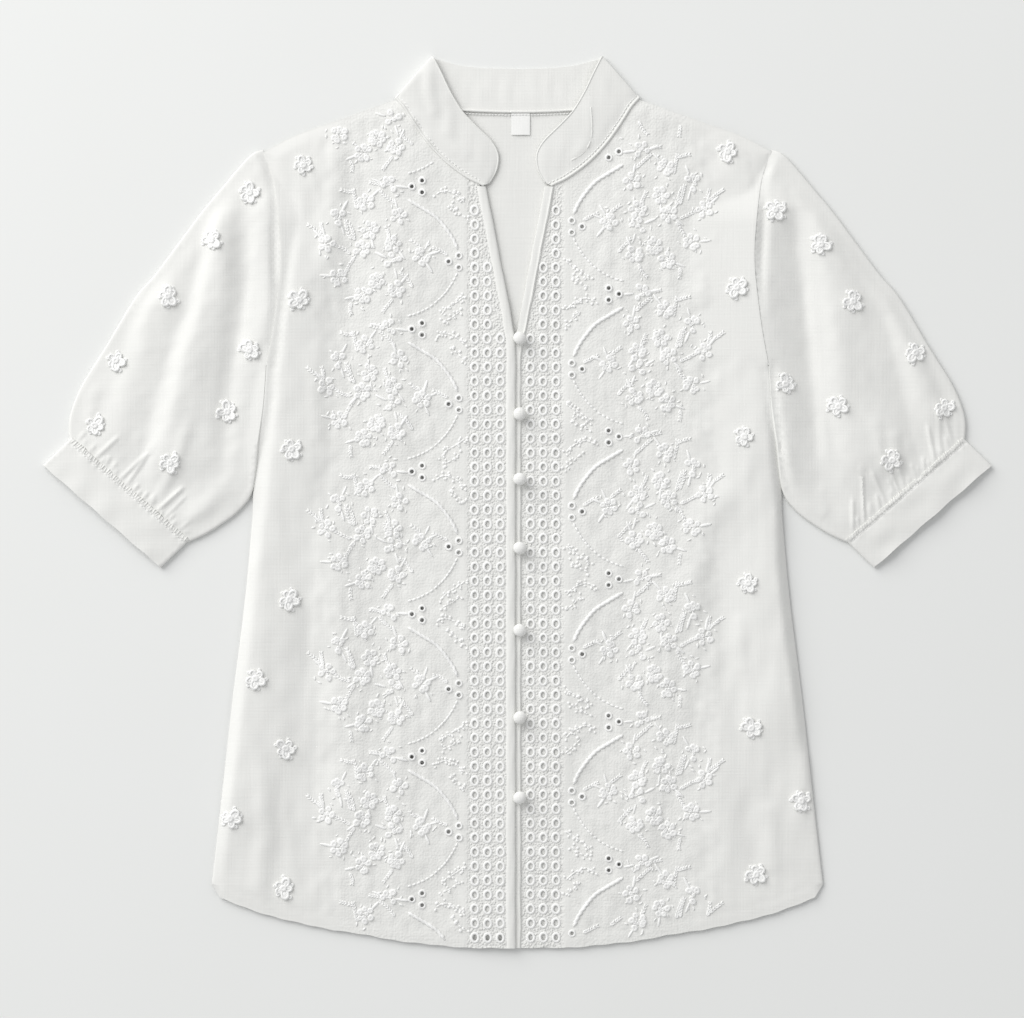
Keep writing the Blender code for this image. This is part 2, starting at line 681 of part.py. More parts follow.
def collar_grid():
    # Lines across the collar, from the front end of the right wing round to the left one.
    half = []
    for line in WING:
        seam = Vector((line.seam_out, line.seam_up, line.seam_z))
        top = Vector((line.top_out, line.top_up, line.top_z))
        half.append([seam.lerp(top, k / COLLAR_STEPS) for k in range(COLLAR_STEPS + 1)])
    seam_end, top_end = Vector(FOLD_SEAM), Vector(FOLD_TOP)
    way = (top_end - seam_end).normalized()
    outward = Vector((way.y, -way.x))
    for step in range(FOLD_STEPS):
        turn = math.pi / 2 - math.pi * (step + 0.5) / FOLD_STEPS
        line = []
        for k in range(COLLAR_STEPS + 1):
            share = k / COLLAR_STEPS
            radius = (FOLD_HEIGHTS[0] + (FOLD_HEIGHTS[1] - FOLD_HEIGHTS[0]) * share) / 2
            edge = seam_end.lerp(top_end, share) + outward * (radius * (math.cos(turn) - 1))
            line.append(Vector((edge.x, edge.y, CLOTH / 2 + radius * (1 + math.sin(turn)))))
        half.append(line)
    for back in COLLAR_BACK:
        seam = Vector((back.seam_out, back.seam_up, CLOTH / 2))
        top = Vector((back.top_out, back.top_up, CLOTH / 2))
        half.append([seam.lerp(top, k / COLLAR_STEPS) for k in range(COLLAR_STEPS + 1)])
    other = [[Vector((-p.x, p.y, p.z)) for p in line] for line in half[:-1]]
    return half + other[::-1]


def build_collar(material, parent):
    grid = collar_grid()
    rows, columns = len(grid), len(grid[0])
    sides = []
    for sign in (1, -1):
        layer = []
        for i in range(rows):
            for k in range(columns):
                down = grid[min(i + 1, rows - 1)][k] - grid[max(i - 1, 0)][k]
                across = grid[i][min(k + 1, columns - 1)] - grid[i][max(k - 1, 0)]
                layer.append(grid[i][k] + sign * CLOTH / 2 * down.cross(across).normalized())
        sides.append(layer)
    corners = sides[0] + sides[1]
    total = rows * columns
    faces = []
    for i in range(rows - 1):
        for k in range(columns - 1):
            a, b = i * columns + k, i * columns + k + 1
            c, d = a + columns, b + columns
            faces.append([a, c, d, b])
            faces.append([total + a, total + b, total + d, total + c])
    rim = [i * columns for i in range(rows)]
    rim += [(rows - 1) * columns + k for k in range(1, columns)]
    rim += [i * columns + columns - 1 for i in range(rows - 2, -1, -1)]
    rim += list(range(columns - 2, 0, -1))
    for a, b in zip(rim, rim[1:] + rim[:1]):
        faces.append([b, a, total + a, total + b])
    add_object("collar", corners, faces, material, parent)


def build_label(material, parent):
    width, length, thick = LABEL_SIZE
    x, y = LABEL_MIDDLE
    low = BACK_TOP + SEAM_GAP
    plan = [(x - width / 2, y - length / 2), (x + width / 2, y - length / 2),
            (x + width / 2, y + length / 2), (x - width / 2, y + length / 2)]
    corners = [(*point, low) for point in plan] + [(*point, low + thick) for point in plan]
    faces = [[3, 2, 1, 0], [4, 5, 6, 7]]
    faces += [[i, (i + 1) % 4, (i + 1) % 4 + 4, i + 4] for i in range(4)]
    add_object("label", corners, faces, material, parent)


def button_shape():
    # A covered ball on a short shank, turned about its own axis. Heights start at the shank's foot.
    profile = [(1.3, 0.0), (1.3, 2.3), (3.7, 3.1), (4.7, 5.6), (3.6, 8.2), (1.7, 9.1)]
    corners = [(0, 0, 0.0)]
    for radius, height in profile:
        corners += [(*point, height) for point in ring_points(0, 0, radius, BUTTON_SEGMENTS)]
    corners.append((0, 0, 9.3))
    faces = []
    count = BUTTON_SEGMENTS
    for k in range(count):
        m = (k + 1) % count
        faces.append([0, 1 + m, 1 + k])
        for ring in range(len(profile) - 1):
            a, b = 1 + ring * count, 1 + (ring + 1) * count
            faces.append([a + k, a + m, b + m, b + k])
        last = 1 + (len(profile) - 1) * count
        faces.append([last + k, last + m, len(corners) - 1])
    return corners, faces


def loop_shape():
    # A cord that leaves the right front edge and comes back to it round the shank.
    start_x = CENTRE_LINE - BUTTON_X + SEAM_GAP
    way = [Vector((start_x, 3.6, 0)), Vector((-1.2, 3.0, 0)), Vector((0.9, 2.6, 0)),
           Vector((2.4, 1.5, 0)), Vector((2.9, 0, 0))]
    way += [Vector((p.x, -p.y, 0)) for p in way[-2::-1]]
    corners = []
    for i, point in enumerate(way):
        along = (way[min(i + 1, len(way) - 1)] - way[max(i - 1, 0)]).normalized()
        if i in (0, len(way) - 1):
            along = Vector((1 if i == 0 else -1, 0, 0))
        across = Vector((-along.y, along.x, 0))
        for k in range(LOOP_SIDES):
            turn = 2 * math.pi * k / LOOP_SIDES
            offset = across * math.cos(turn) + Vector((0, 0, math.sin(turn)))
            corners.append(point + offset * LOOP_RADIUS)
    faces = []
    n = LOOP_SIDES
    for i in range(len(way) - 1):
        for k in range(n):
            m = (k + 1) % n
            faces.append([i * n + k, i * n + m, (i + 1) * n + m, (i + 1) * n + k])
    faces.append(list(range(n))[::-1])
    faces.append([(len(way) - 1) * n + k for k in range(n)])
    return corners, faces


def build_fastening(button_material, loop_material, parent):
    seat = FRONT_FLOOR + BAND_THICK + SEAM_GAP
    loop_height = FRONT_FLOOR + BAND_LIFT + 0.5 * BAND_THICK
    for number, drop in enumerate(BUTTON_DROPS, start=1):
        place = (BUTTON_X, BUTTON_FIRST - drop)
        add_object(f"button_{number}", *button_shape(), button_material, parent, (*place, seat))
        add_object(f"loop_{number}", *loop_shape(), loop_material, parent, (*place, loop_height))


def build_blouse():
    for item in list(bpy.data.objects):
        bpy.data.objects.remove(item, do_unlink=True)
    blouse = bpy.data.objects.new("blouse", None)
    bpy.context.scene.collection.objects.link(blouse)
    cotton = cloth_material("woven_cotton", (0.86, 0.86, 0.84), 0.85)
    thread = cloth_material("embroidery_thread", (0.9, 0.9, 0.88), 0.7)
    covered = cloth_material("covered_button", (0.88, 0.88, 0.86), 0.75)
    tape = cloth_material("label_tape", (0.93, 0.93, 0.91), 0.6)
    build_back(cotton, blouse)
    build_front("front_right", -1, APPLIQUES_RIGHT, cotton, blouse)
    build_front("front_left", 1, APPLIQUES_LEFT, cotton, blouse)
    for name, side in (("right", -1), ("left", 1)):
        build_band(f"band_{name}", side, cotton, blouse)
        build_sleeve(f"sleeve_{name}", side, cotton, blouse)
        build_cuff(f"cuff_{name}", side, cotton, blouse)
    build_collar(cotton, blouse)
    build_label(tape, blouse)
    build_fastening(covered, thread, blouse)


build_blouse()
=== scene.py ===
import math
import random

import bpy
import numpy as np
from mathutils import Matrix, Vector
from mathutils.geometry import delaunay_2d_cdt


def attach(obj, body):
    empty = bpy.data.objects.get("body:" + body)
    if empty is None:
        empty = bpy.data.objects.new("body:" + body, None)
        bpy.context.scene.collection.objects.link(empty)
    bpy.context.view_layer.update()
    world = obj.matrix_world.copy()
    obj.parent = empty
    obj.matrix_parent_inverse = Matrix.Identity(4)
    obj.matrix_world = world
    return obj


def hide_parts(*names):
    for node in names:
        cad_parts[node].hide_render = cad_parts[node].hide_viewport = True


# Cotton blouse with eyelets and raised embroidery, laid flat with its front up.
# Sizes are in millimetres. mm turns them to metres where a mesh is made.
# "Right" and "left" are the wearer's, so side -1 is the right and lies at negative x.

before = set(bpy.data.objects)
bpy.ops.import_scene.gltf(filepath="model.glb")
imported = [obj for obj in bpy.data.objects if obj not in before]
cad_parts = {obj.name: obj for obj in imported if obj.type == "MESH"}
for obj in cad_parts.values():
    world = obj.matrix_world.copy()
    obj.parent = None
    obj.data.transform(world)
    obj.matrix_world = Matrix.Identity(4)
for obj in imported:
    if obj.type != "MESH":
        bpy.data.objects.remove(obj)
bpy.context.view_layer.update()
mm = 0.001
dice = random.Random(11)
sides = {-1: "Right", 1: "Left"}


# Lines and heights.

def smoothStep(value):
    t = np.clip(value, 0.0, 1.0)
    return t * t * (3 - 2 * t)


def curvePoint(table, i, t):
    # A point of the Catmull-Rom curve through a table's points, a share t beyond point i.
    before, after = table[max(i - 1, 0)], table[min(i + 2, len(table) - 1)]
    start, end = table[i], table[i + 1]
    return 0.5 * (2 * start + (end - before) * t
                  + (2 * before - 5 * start + 4 * end - after) * t ** 2
                  + (3 * start - before - 3 * end + after) * t ** 3)


def smoothLine(table, step):
    # A smooth line through a table's points, of two or three numbers each.
    table = [np.array(point, float) for point in table]
    line = [table[0]]
    for i in range(len(table) - 1):
        count = max(1, round(float(np.linalg.norm(table[i + 1] - table[i])) / step))
        line += [curvePoint(table, i, k / count) for k in range(1, count + 1)]
    return [tuple(float(v) for v in point) for point in line]


def mirrored(line, side):
    return [(side * x, y) for x, y in line]


def loopOf(*lines):
    # Lines that meet end to end, as one anticlockwise loop.
    loop = []
    for line in lines:
        for point in line:
            if not loop or math.dist(point, loop[-1]) > 0.2:
                loop.append(tuple(point))
    if math.dist(loop[0], loop[-1]) < 0.2:
        loop.pop()
    return loop if loopArea(loop) > 0 else loop[::-1]


def loopArea(loop):
    return 0.5 * sum(a[0] * b[1] - b[0] * a[1] for a, b in zip(loop, loop[1:] + loop[:1]))


def measureTo(x, y, path):
    # Distance to a path, signed to its left, and how far along it the nearest point is (0 to 1).
    x, y = np.asarray(x, float), np.asarray(y, float)
    away = np.full(x.shape, 1e9)
    left = np.zeros(x.shape)
    along = np.zeros(x.shape)
    lengths = [math.dist(a, b) for a, b in zip(path, path[1:])]
    total, done = sum(lengths), 0.0
    for (ax, ay), (bx, by), length in zip(path, path[1:], lengths):
        if length:
            dx, dy = (bx - ax) / length, (by - ay) / length
            run = np.clip((x - ax) * dx + (y - ay) * dy, 0, length)
            gap = np.hypot(x - ax - run * dx, y - ay - run * dy)
            nearer = gap < away
            away = np.where(nearer, gap, away)
            left = np.where(nearer, dx * (y - ay) - dy * (x - ax), left)
            along = np.where(nearer, (done + run) / total, along)
        done += length
    return away, left, along


def awayFrom(x, y, path):
    return measureTo(x, y, path)[0]


def foldHeight(x, y, folds):
    # Soft ridges and troughs: (path, reach to its left, reach to its right, rise). A reach of two
    # numbers changes from the path's start to its end.
    total = np.zeros(np.shape(x))
    for path, reachLeft, reachRight, rise in folds:
        away, left, along = measureTo(x, y, path)
        leftward, rightward = np.ravel(reachLeft), np.ravel(reachRight)
        reach = np.where(left > 0, leftward[0] + (leftward[-1] - leftward[0]) * along,
                         rightward[0] + (rightward[-1] - rightward[0]) * along)
        ends = smoothStep(along / 0.16) * smoothStep((1 - along) / 0.16)
        # A wide fold is a round puff that ends in a sharp valley.
        off = np.clip(away / reach, 0, 1)
        puff = 0.75 * smoothStep((reach - 18) / 12)
        total += rise * (0.2 + 0.8 * ends) * ((1 - puff) * np.cos(np.pi / 2 * off) ** 2
                                              + puff * (1 - off ** 2))
    return total


def softWaves(x, y, seed, low, high):
    # Uneven cloth: a sum of waves in many directions, about -1 to 1. low and high bound their length.
    draw = random.Random(seed)
    total = np.zeros(np.shape(x))
    count = 14
    for _ in range(count):
        turn, length = draw.uniform(0, math.pi), draw.uniform(low, high)
        shift = draw.uniform(0, 2 * math.pi)
        total += np.sin(2 * math.pi * (x * math.cos(turn) + y * math.sin(turn)) / length + shift)
    return total / math.sqrt(count)


def heightField(height, low, high, step=1.5):
    # Samples a height once over a grid, so that the stitches can read it quickly.
    columns = int((high[0] - low[0]) / step) + 2
    rows = int((high[1] - low[1]) / step) + 2
    gx, gy = np.meshgrid(low[0] + step * np.arange(columns), low[1] + step * np.arange(rows))
    field = height(gx.ravel(), gy.ravel()).reshape(rows, columns)

    def read(x, y):
        u = np.clip((np.asarray(x, float) - low[0]) / step, 0, columns - 1.001)
        v = np.clip((np.asarray(y, float) - low[1]) / step, 0, rows - 1.001)
        i, j = v.astype(int), u.astype(int)
        fu, fv = u - j, v - i
        return ((field[i, j] * (1 - fu) + field[i, j + 1] * fu) * (1 - fv)
                + (field[i + 1, j] * (1 - fu) + field[i + 1, j + 1] * fu) * fv)
    return read


def insideOf(x, y, loop):
    inside = np.zeros(np.shape(x), bool)
    for (ax, ay), (bx, by) in zip(loop, loop[1:] + loop[:1]):
        if ay != by:
            crosses = (ay > y) != (by > y)
            inside ^= crosses & (x < ax + (y - ay) * (bx - ax) / (by - ay))
    return inside


# Meshes.

def rimPoints(loop, offsets):
    # Rows of points just inside a loop, so that its edge can be rounded.
    count, rows = len(loop), []
    for offset in offsets:
        for i in range(count):
            (x, y), (ax, ay), (bx, by) = loop[i], loop[i - 1], loop[(i + 1) % count]
            length = max(math.dist((ax, ay), (bx, by)), 1e-9)
            rows.append((x - (by - ay) / length * offset, y + (bx - ax) / length * offset))
    x, y = np.array(rows).T
    keep = insideOf(x, y, loop) & (awayFrom(x, y, loop + loop[:1]) > min(offsets) * 0.8)
    return list(zip(x[keep].tolist(), y[keep].tolist()))


def gridPoints(loop, spacing, keepClear=(), rim=0.0):
    # Points of a slightly uneven triangular grid inside a loop, clear of its rim and of holes.
    xs, ys = [p[0] for p in loop], [p[1] for p in loop]
    rowStep = spacing * math.sqrt(3) / 2
    rows = int((max(ys) - min(ys)) / rowStep) + 2
    columns = int((max(xs) - min(xs)) / spacing) + 2
    row, column = np.mgrid[0:rows, 0:columns]
    x = (min(xs) + (column + 0.5 * (row % 2)) * spacing).ravel()
    y = (min(ys) + row * rowStep).ravel()
    draw = np.random.RandomState(5)
    x = x + draw.uniform(-0.12, 0.12, x.shape) * spacing
    y = y + draw.uniform(-0.12, 0.12, y.shape) * spacing
    keep = insideOf(x, y, loop) & (awayFrom(x, y, loop + loop[:1]) > max(rim, spacing * 0.45))
    for hx, hy, reach in keepClear:
        keep &= np.hypot(x - hx, y - hy) > reach
    return list(zip(x[keep].tolist(), y[keep].tolist()))


def triangulate(loop, holes, loose):
    # Triangles that fill a loop through its loose points and leave its holes open.
    points = list(loop)
    edges = [(i, (i + 1) % len(loop)) for i in range(len(loop))]
    holeOf = {}
    for number, hole in enumerate(holes):
        first = len(points)
        points.extend(hole)
        for i in range(len(hole)):
            edges.append((first + i, first + (i + 1) % len(hole)))
            holeOf[first + i] = number
    points.extend(loose)
    result = delaunay_2d_cdt([Vector(point) for point in points], edges, [], 1, 1e-5)
    source = [origin[0] for origin in result[3]]
    triangles = []
    for face in result[2]:
        names = [source[i] for i in face]
        rims = {holeOf.get(name) for name in names}
        if len(rims) == 1 and None not in rims:
            continue
        (ax, ay), (bx, by), (cx, cy) = (points[name] for name in names)
        turn = (bx - ax) * (cy - ay) - (cx - ax) * (by - ay)
        if abs(turn) > 1e-6:
            triangles.append(names if turn > 0 else names[::-1])
    return points, triangles


def gridFaces(rows, columns, closed=False):
    # Four-sided faces between rows of points. A closed row joins its last point to its first.
    faces = []
    for i in range(rows - 1):
        for k in range(columns if closed else columns - 1):
            m = (k + 1) % columns
            faces.append([i * columns + k, i * columns + m, (i + 1) * columns + m, (i + 1) * columns + k])
    return faces


def addPiece(name, corners, faces, material):
    mesh = bpy.data.meshes.new(name)
    mesh.from_pydata((np.array(corners) * mm).tolist(), [], faces)
    mesh.validate()
    mesh.materials.append(material)
    mesh.shade_smooth()
    piece = bpy.data.objects.new(name, mesh)
    bpy.context.scene.collection.objects.link(piece)
    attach(piece, "root")
    return piece


def thicken(piece, thickness, offset=-1.0):
    # Gives a single surface its thickness and keeps the cut edges crisp.
    solid = piece.modifiers.new("thickness", "SOLIDIFY")
    solid.thickness = thickness * mm
    solid.offset = offset
    seen = piece.evaluated_get(bpy.context.evaluated_depsgraph_get())
    mesh = bpy.data.meshes.new_from_object(seen)
    piece.modifiers.clear()
    piece.data = mesh
    mesh.set_sharp_from_angle(angle=math.radians(50))


def nodeOf(part, side):
    # The name of the CAD node on one side, such as sleeve_right.
    return f"{part}_{sides[side].lower()}"


# Materials.

def linearColour(hexColour):
    values = [int(hexColour[i:i + 2], 16) / 255 for i in (1, 3, 5)]
    return tuple(v / 12.92 if v <= 0.04045 else ((v + 0.055) / 1.055) ** 2.4 for v in values) + (1,)


def addNode(tree, kind, links=(), **settings):
    # Adds a node. A setting whose name is a socket goes there, and any other is a property.
    node = tree.nodes.new(kind)
    for key, value in settings.items():
        if hasattr(node, key):
            setattr(node, key, value)
        else:
            node.inputs[key.replace("_", " ")].default_value = value
    for socket, source in links:
        tree.links.new(source, node.inputs[socket])
    return node


def newMaterial(name, colour, roughness, sheen=0.0):
    material = bpy.data.materials.new(name)
    material.use_nodes = True
    material.diffuse_color = linearColour(colour)
    tree = material.node_tree
    shader = tree.nodes["Principled BSDF"]
    shader.inputs["Base Color"].default_value = linearColour(colour)
    shader.inputs["Roughness"].default_value = roughness
    shader.inputs["Metallic"].default_value = 0.0
    shader.inputs["IOR"].default_value = 1.5
    shader.inputs["Specular IOR Level"].default_value = 0.25
    shader.inputs["Sheen Weight"].default_value = sheen
    shader.inputs["Sheen Roughness"].default_value = 0.5
    return material, tree, shader


def addSurface(tree, shader, spec, tint, height):
    # Two close shades mixed by a pattern, and slight relief from a height.
    tone = addNode(tree, "ShaderNodeMix", [("Factor", tint)], data_type="RGBA")
    tone.inputs["A"].default_value = linearColour(spec["shade"])
    tone.inputs["B"].default_value = linearColour(spec["colour"])
    tree.links.new(tone.outputs["Result"], shader.inputs["Base Color"])
    bump = addNode(tree, "ShaderNodeBump", [("Height", height)], Strength=spec["bump"], Distance=0.0003)
    tree.links.new(bump.outputs[0], shader.inputs["Normal"])
    return bump


def wovenCotton(name, spec):
    # Washed cotton lawn: a plain weave with slubs, so its white is matt and faintly streaked.
    material, tree, shader = newMaterial(name, spec["colour"], spec["roughness"], spec["sheen"])
    place = addNode(tree, "ShaderNodeTexCoord").outputs["Object"]
    streaks = []
    for stretch in ((1 / spec["slub"], 0.06 / spec["slub"], 1), (0.06 / spec["slub"], 1 / spec["slub"], 1)):
        way = addNode(tree, "ShaderNodeMapping", [("Vector", place)], Scale=stretch)
        streaks.append(addNode(tree, "ShaderNodeTexNoise", [("Vector", way.outputs[0])],
                               Scale=1.0, Detail=2.0).outputs[0])
    slubs = addNode(tree, "ShaderNodeMath", [(0, streaks[0]), (1, streaks[1])], operation="ADD")
    threads = []
    for way in ("X", "Y"):
        threads.append(addNode(tree, "ShaderNodeTexWave", [("Vector", place)], bands_direction=way,
                               Scale=0.314 / spec["thread"], Distortion=1.5,
                               Detail_Scale=2.0).outputs["Fac"])
    weave = addNode(tree, "ShaderNodeMath", [(0, threads[0]), (1, threads[1])], operation="MAXIMUM")
    height = addNode(tree, "ShaderNodeMath", [(0, slubs.outputs[0]), (2, weave.outputs[0])],
                     operation="MULTIPLY_ADD")
    height.inputs[1].default_value = 2.2
    mottle = addNode(tree, "ShaderNodeTexNoise", [("Vector", place)], Scale=28.0, Detail=3.0)
    bump = addSurface(tree, shader, spec, mottle.outputs[0], height.outputs[0])
    if "stipple" in spec:
        # Seed stitches that fill the ground between the eyelets, where the mesh says so.
        mask = addNode(tree, "ShaderNodeAttribute", attribute_name="stippled")
        seeds = addNode(tree, "ShaderNodeTexVoronoi", [("Vector", place)],
                        Scale=1 / spec["stipple"], feature="SMOOTH_F1", Randomness=0.9)
        raised = addNode(tree, "ShaderNodeMath", [(0, seeds.outputs["Distance"]), (1, mask.outputs["Fac"])],
                         operation="MULTIPLY")
        grain = addNode(tree, "ShaderNodeBump", [("Height", raised.outputs[0]), ("Normal", bump.outputs[0])],
                        Strength=1.0, Distance=0.0014, invert=True)
        tree.links.new(grain.outputs[0], shader.inputs["Normal"])
    return material


def spunThread(name, spec):
    # Mercerised embroidery cotton: close satin stitches with a soft gleam across them. The grooves between
    # stitches are painted a shade darker than their crests: painted shade.
    material, tree, shader = newMaterial(name, spec["colour"], spec["roughness"], spec["sheen"])
    run = addNode(tree, "ShaderNodeUVMap", uv_map="thread").outputs[0]
    stitches = addNode(tree, "ShaderNodeTexWave", [("Vector", run)], bands_direction="X",
                       Scale=0.314 / spec["stitch"], Distortion=0.6, Detail_Scale=1.0)
    place = addNode(tree, "ShaderNodeTexCoord").outputs["Object"]
    fuzz = addNode(tree, "ShaderNodeTexNoise", [("Vector", place)], Scale=900.0, Detail=2.0)
    height = addNode(tree, "ShaderNodeMath", [(0, stitches.outputs["Fac"]), (1, fuzz.outputs[0])],
                     operation="ADD")
    # The stitch wave that raises each stitch also sets its tone, so the grooves get painted shade.
    addSurface(tree, shader, spec, stitches.outputs["Fac"], height.outputs[0])
    return material


finish = {
    # Thread spacing is about 0.35 mm on the real cloth. It is drawn at 1.2 mm so that it shows.
    "cotton": {"colour": "#ecece9", "shade": "#e6e6e3", "roughness": 0.88, "sheen": 0.12,
               "slub": 0.0021, "thread": 0.0012, "bump": 0.24},
    # Stitches lie 0.3 mm apart. They are drawn at 0.8 mm.
    # Its shade tone is painted shade, laid in the grooves between stitches.
    "thread": {"colour": "#fcfcfb", "shade": "#f6f6f4", "roughness": 0.62, "sheen": 0.25,
               "stitch": 0.0008, "bump": 0.45},
    # The buttons' cloth is pulled tight over a ball, so it is smoother. Its weave is drawn at 0.9 mm.
    "covered": {"colour": "#f3f3f1", "shade": "#eeeeeb", "roughness": 0.8, "sheen": 0.2,
                "slub": 0.0012, "thread": 0.0009, "bump": 0.4},
    # Satin tape is denser and a little brighter than the lawn round it. Its weave is drawn at 0.7 mm.
    "tape": {"colour": "#f8f8f6", "shade": "#f3f3f1", "roughness": 0.5, "sheen": 0.1,
             "slub": 0.0011, "thread": 0.0007, "bump": 0.3},
}
cotton = wovenCotton("cottonLawn", finish["cotton"])
eyeletCotton = wovenCotton("cottonLawnStitched", {**finish["cotton"], "stipple": 0.0017})
thread = spunThread("embroideryCotton", finish["thread"])
coveredCloth = wovenCotton("buttonCovering", finish["covered"])
tape = wovenCotton("satinTape", finish["tape"])
print("materials ready")


# The outlines of the cut pieces, outward from the middle of the blouse and upward.

outline = {
    "hem": [(0, -356.4), (50, -355), (81, -352), (114, -347), (175, -336), (212, -325.5),
            (238, -316)],
    "side": [(244.6, -305), (237, -239), (228, -157.6), (218, -77.6), (212.2, -13), (211.2, 12),
             (206.8, 49), (202.6, 79), (200.4, 109.6)],
    "armhole": [(200.4, 109.6), (195.8, 134.4), (192.4, 158.4), (189.2, 190.4), (190.2, 220),
                (195, 257), (203, 281)],
    "shoulder": [(203, 281), (178, 294), (140, 307.5), (97, 323)],
    "frontNeck": [(97, 323), (85.5, 309), (72.8, 290.5), (56.6, 273.3), (38.4, 259.8)],
    "backNeck": [(97, 323), (70, 317.3), (45, 313.9), (20, 312.9), (0, 312.7)],
    "frontEdge": [(23.6, 253.2), (18.6, 228), (12.4, 196), (6, 163), (1.6, 138.4), (0, 118),
                  (0, 0), (0, -120), (0, -240), (0, -356)],
    "sleeveOuter": [(203.6, 281.2), (214, 276), (236, 250.5), (253, 230), (276, 199),
                    (290, 180.5), (305, 163), (329, 123), (347.5, 93), (356.6, 69), (356.7, 50.8)],
    "sleeveInner": [(200.9, 109.4), (203.1, 79), (207.5, 49), (212.6, 12), (223, -4.5),
                    (239.7, -17.3), (252, -24.6), (263.8, -30)],
}
lineStep = 4.0
hemLine = [(x, y + 0.3 * math.sin(x / 8.7) + 0.3 * math.sin(x / 3.1 + 1))
           for x, y in smoothLine(outline["hem"], lineStep)]
sideLine = smoothLine(outline["side"], lineStep)
armholeLine = smoothLine(outline["armhole"], lineStep)
shoulderLine = smoothLine(outline["shoulder"], lineStep)
neckLine = smoothLine(outline["frontNeck"], lineStep)
frontEdgeLine = smoothLine(outline["frontEdge"], lineStep)

front = {
    "centreLine": -1.5, "slitBottom": 138.4, "underlap": 3.0,
    "bandWidth": 7.5, "bandThick": 1.9, "bandLift": 2.1, "liftWidth": 46.0, "liftAtNeck": 0.35,
    "floor": 1.5, "rest": 1.0, "cloth": 1.2, "settle": 10.0, "thickness": 0.35, "grid": 3.2,
    "hemDepth": 8.0, "tuck": 2.6, "roll": 4.4, "rim": 2.0, "rimRise": {-1: 5.4, 1: 7.4},
    "fall": {-1: 0.2, 1: 0.15}, "seamLow": 2.2, "seamRise": {-1: 5.8, 1: 8.8},
    "holeClear": 3.4, "smallHoleClear": 3.0, "rimRows": (0.5, 1.3, 2.5), "ringRow": 1.1,
    "longWave": 0.5, "shortWave": 0.2, "pucker": 0.3, "hemRise": 0.45, "sewnSink": 0.35,
}
# Main creases as the photo shows them: path, reach to the left and right of the path, rise.
frontFolds = {
    -1: [
        ([(-168, 250), (-176, 194), (-186, 138), (-189, 82), (-200, -14), (-205, -50), (-211, -110),
          (-217, -158), (-225, -222), (-231, -275), (-234, -318)], (42, 46), (16, 10), 6.0),
        ([(-146, 10), (-151, -46), (-143, -110), (-138, -158), (-135, -222), (-142, -300)], 28, 24, 3.0),
        ([(-203, -205), (-202, -270), (-210, -318)], 14, 12, 1.8),
        ([(-112, 262), (-104, 170), (-98, 60), (-106, -60)], 24, 26, 1.4),
        ([(-140, 296), (-146, 232), (-151, 180)], 12, 16, 1.8),
        ([(-160, 120), (-160, 60), (-164, 10)], 10, 12, 1.0),
        ([(-92, -150), (-96, -240), (-90, -330)], 18, 20, 1.0),
        ([(-176, -190), (-184, -250), (-180, -300)], 8, 9, 0.9),
    ],
    1: [
        ([(186, 256), (190, 196), (193, 138), (197, 82), (205, -14), (205, -46), (212, -110),
          (220, -158), (228, -225)], (12, 9), (34, 52), 6.0),
        ([(172, 20), (153, -14), (143, -46), (134, -96)], 20, 24, 2.8),
        ([(160, 226), (152, 194), (150, 150)], 16, 18, 2.2),
        ([(124, 270), (128, 210), (122, 150)], 18, 18, 1.3),
        ([(118, 20), (112, -60), (116, -160)], 20, 22, 1.2),
        ([(160, -150), (170, -230), (164, -320)], 18, 20, 1.3),
        ([(200, -236), (204, -300)], 12, 14, 1.4),
        ([(108, -180), (104, -260), (110, -335)], 16, 18, 0.9),
        ([(176, -86), (180, -140)], 9, 10, 1.0),
    ],
}


def edgeOut(y, side):
    # How far the bound edge lies from the middle of the blouse.
    line = frontEdgeLine[::-1]
    out = np.interp(y, [p[1] for p in line], [p[0] for p in line])
    if side > 0:
        out = out - front["underlap"] * smoothStep((front["slitBottom"] + 6 - y) / 30.0)
    return out + side * front["centreLine"]


def bandLift(y, side):
    if side > 0:
        return np.zeros(np.shape(y))
    share = smoothStep((front["slitBottom"] + 60.0 - y) / 60.0)
    return front["bandLift"] * (front["liftAtNeck"] + (1 - front["liftAtNeck"]) * share)


def seamLevel(y, side):
    # Height of the armhole seam, which stands on the sleeve's fold along its middle.
    rise = smoothStep((y - 52) / 70) * (1 - smoothStep((y - 222) / 50))
    return front["seamLow"] + front["seamRise"][side] * rise


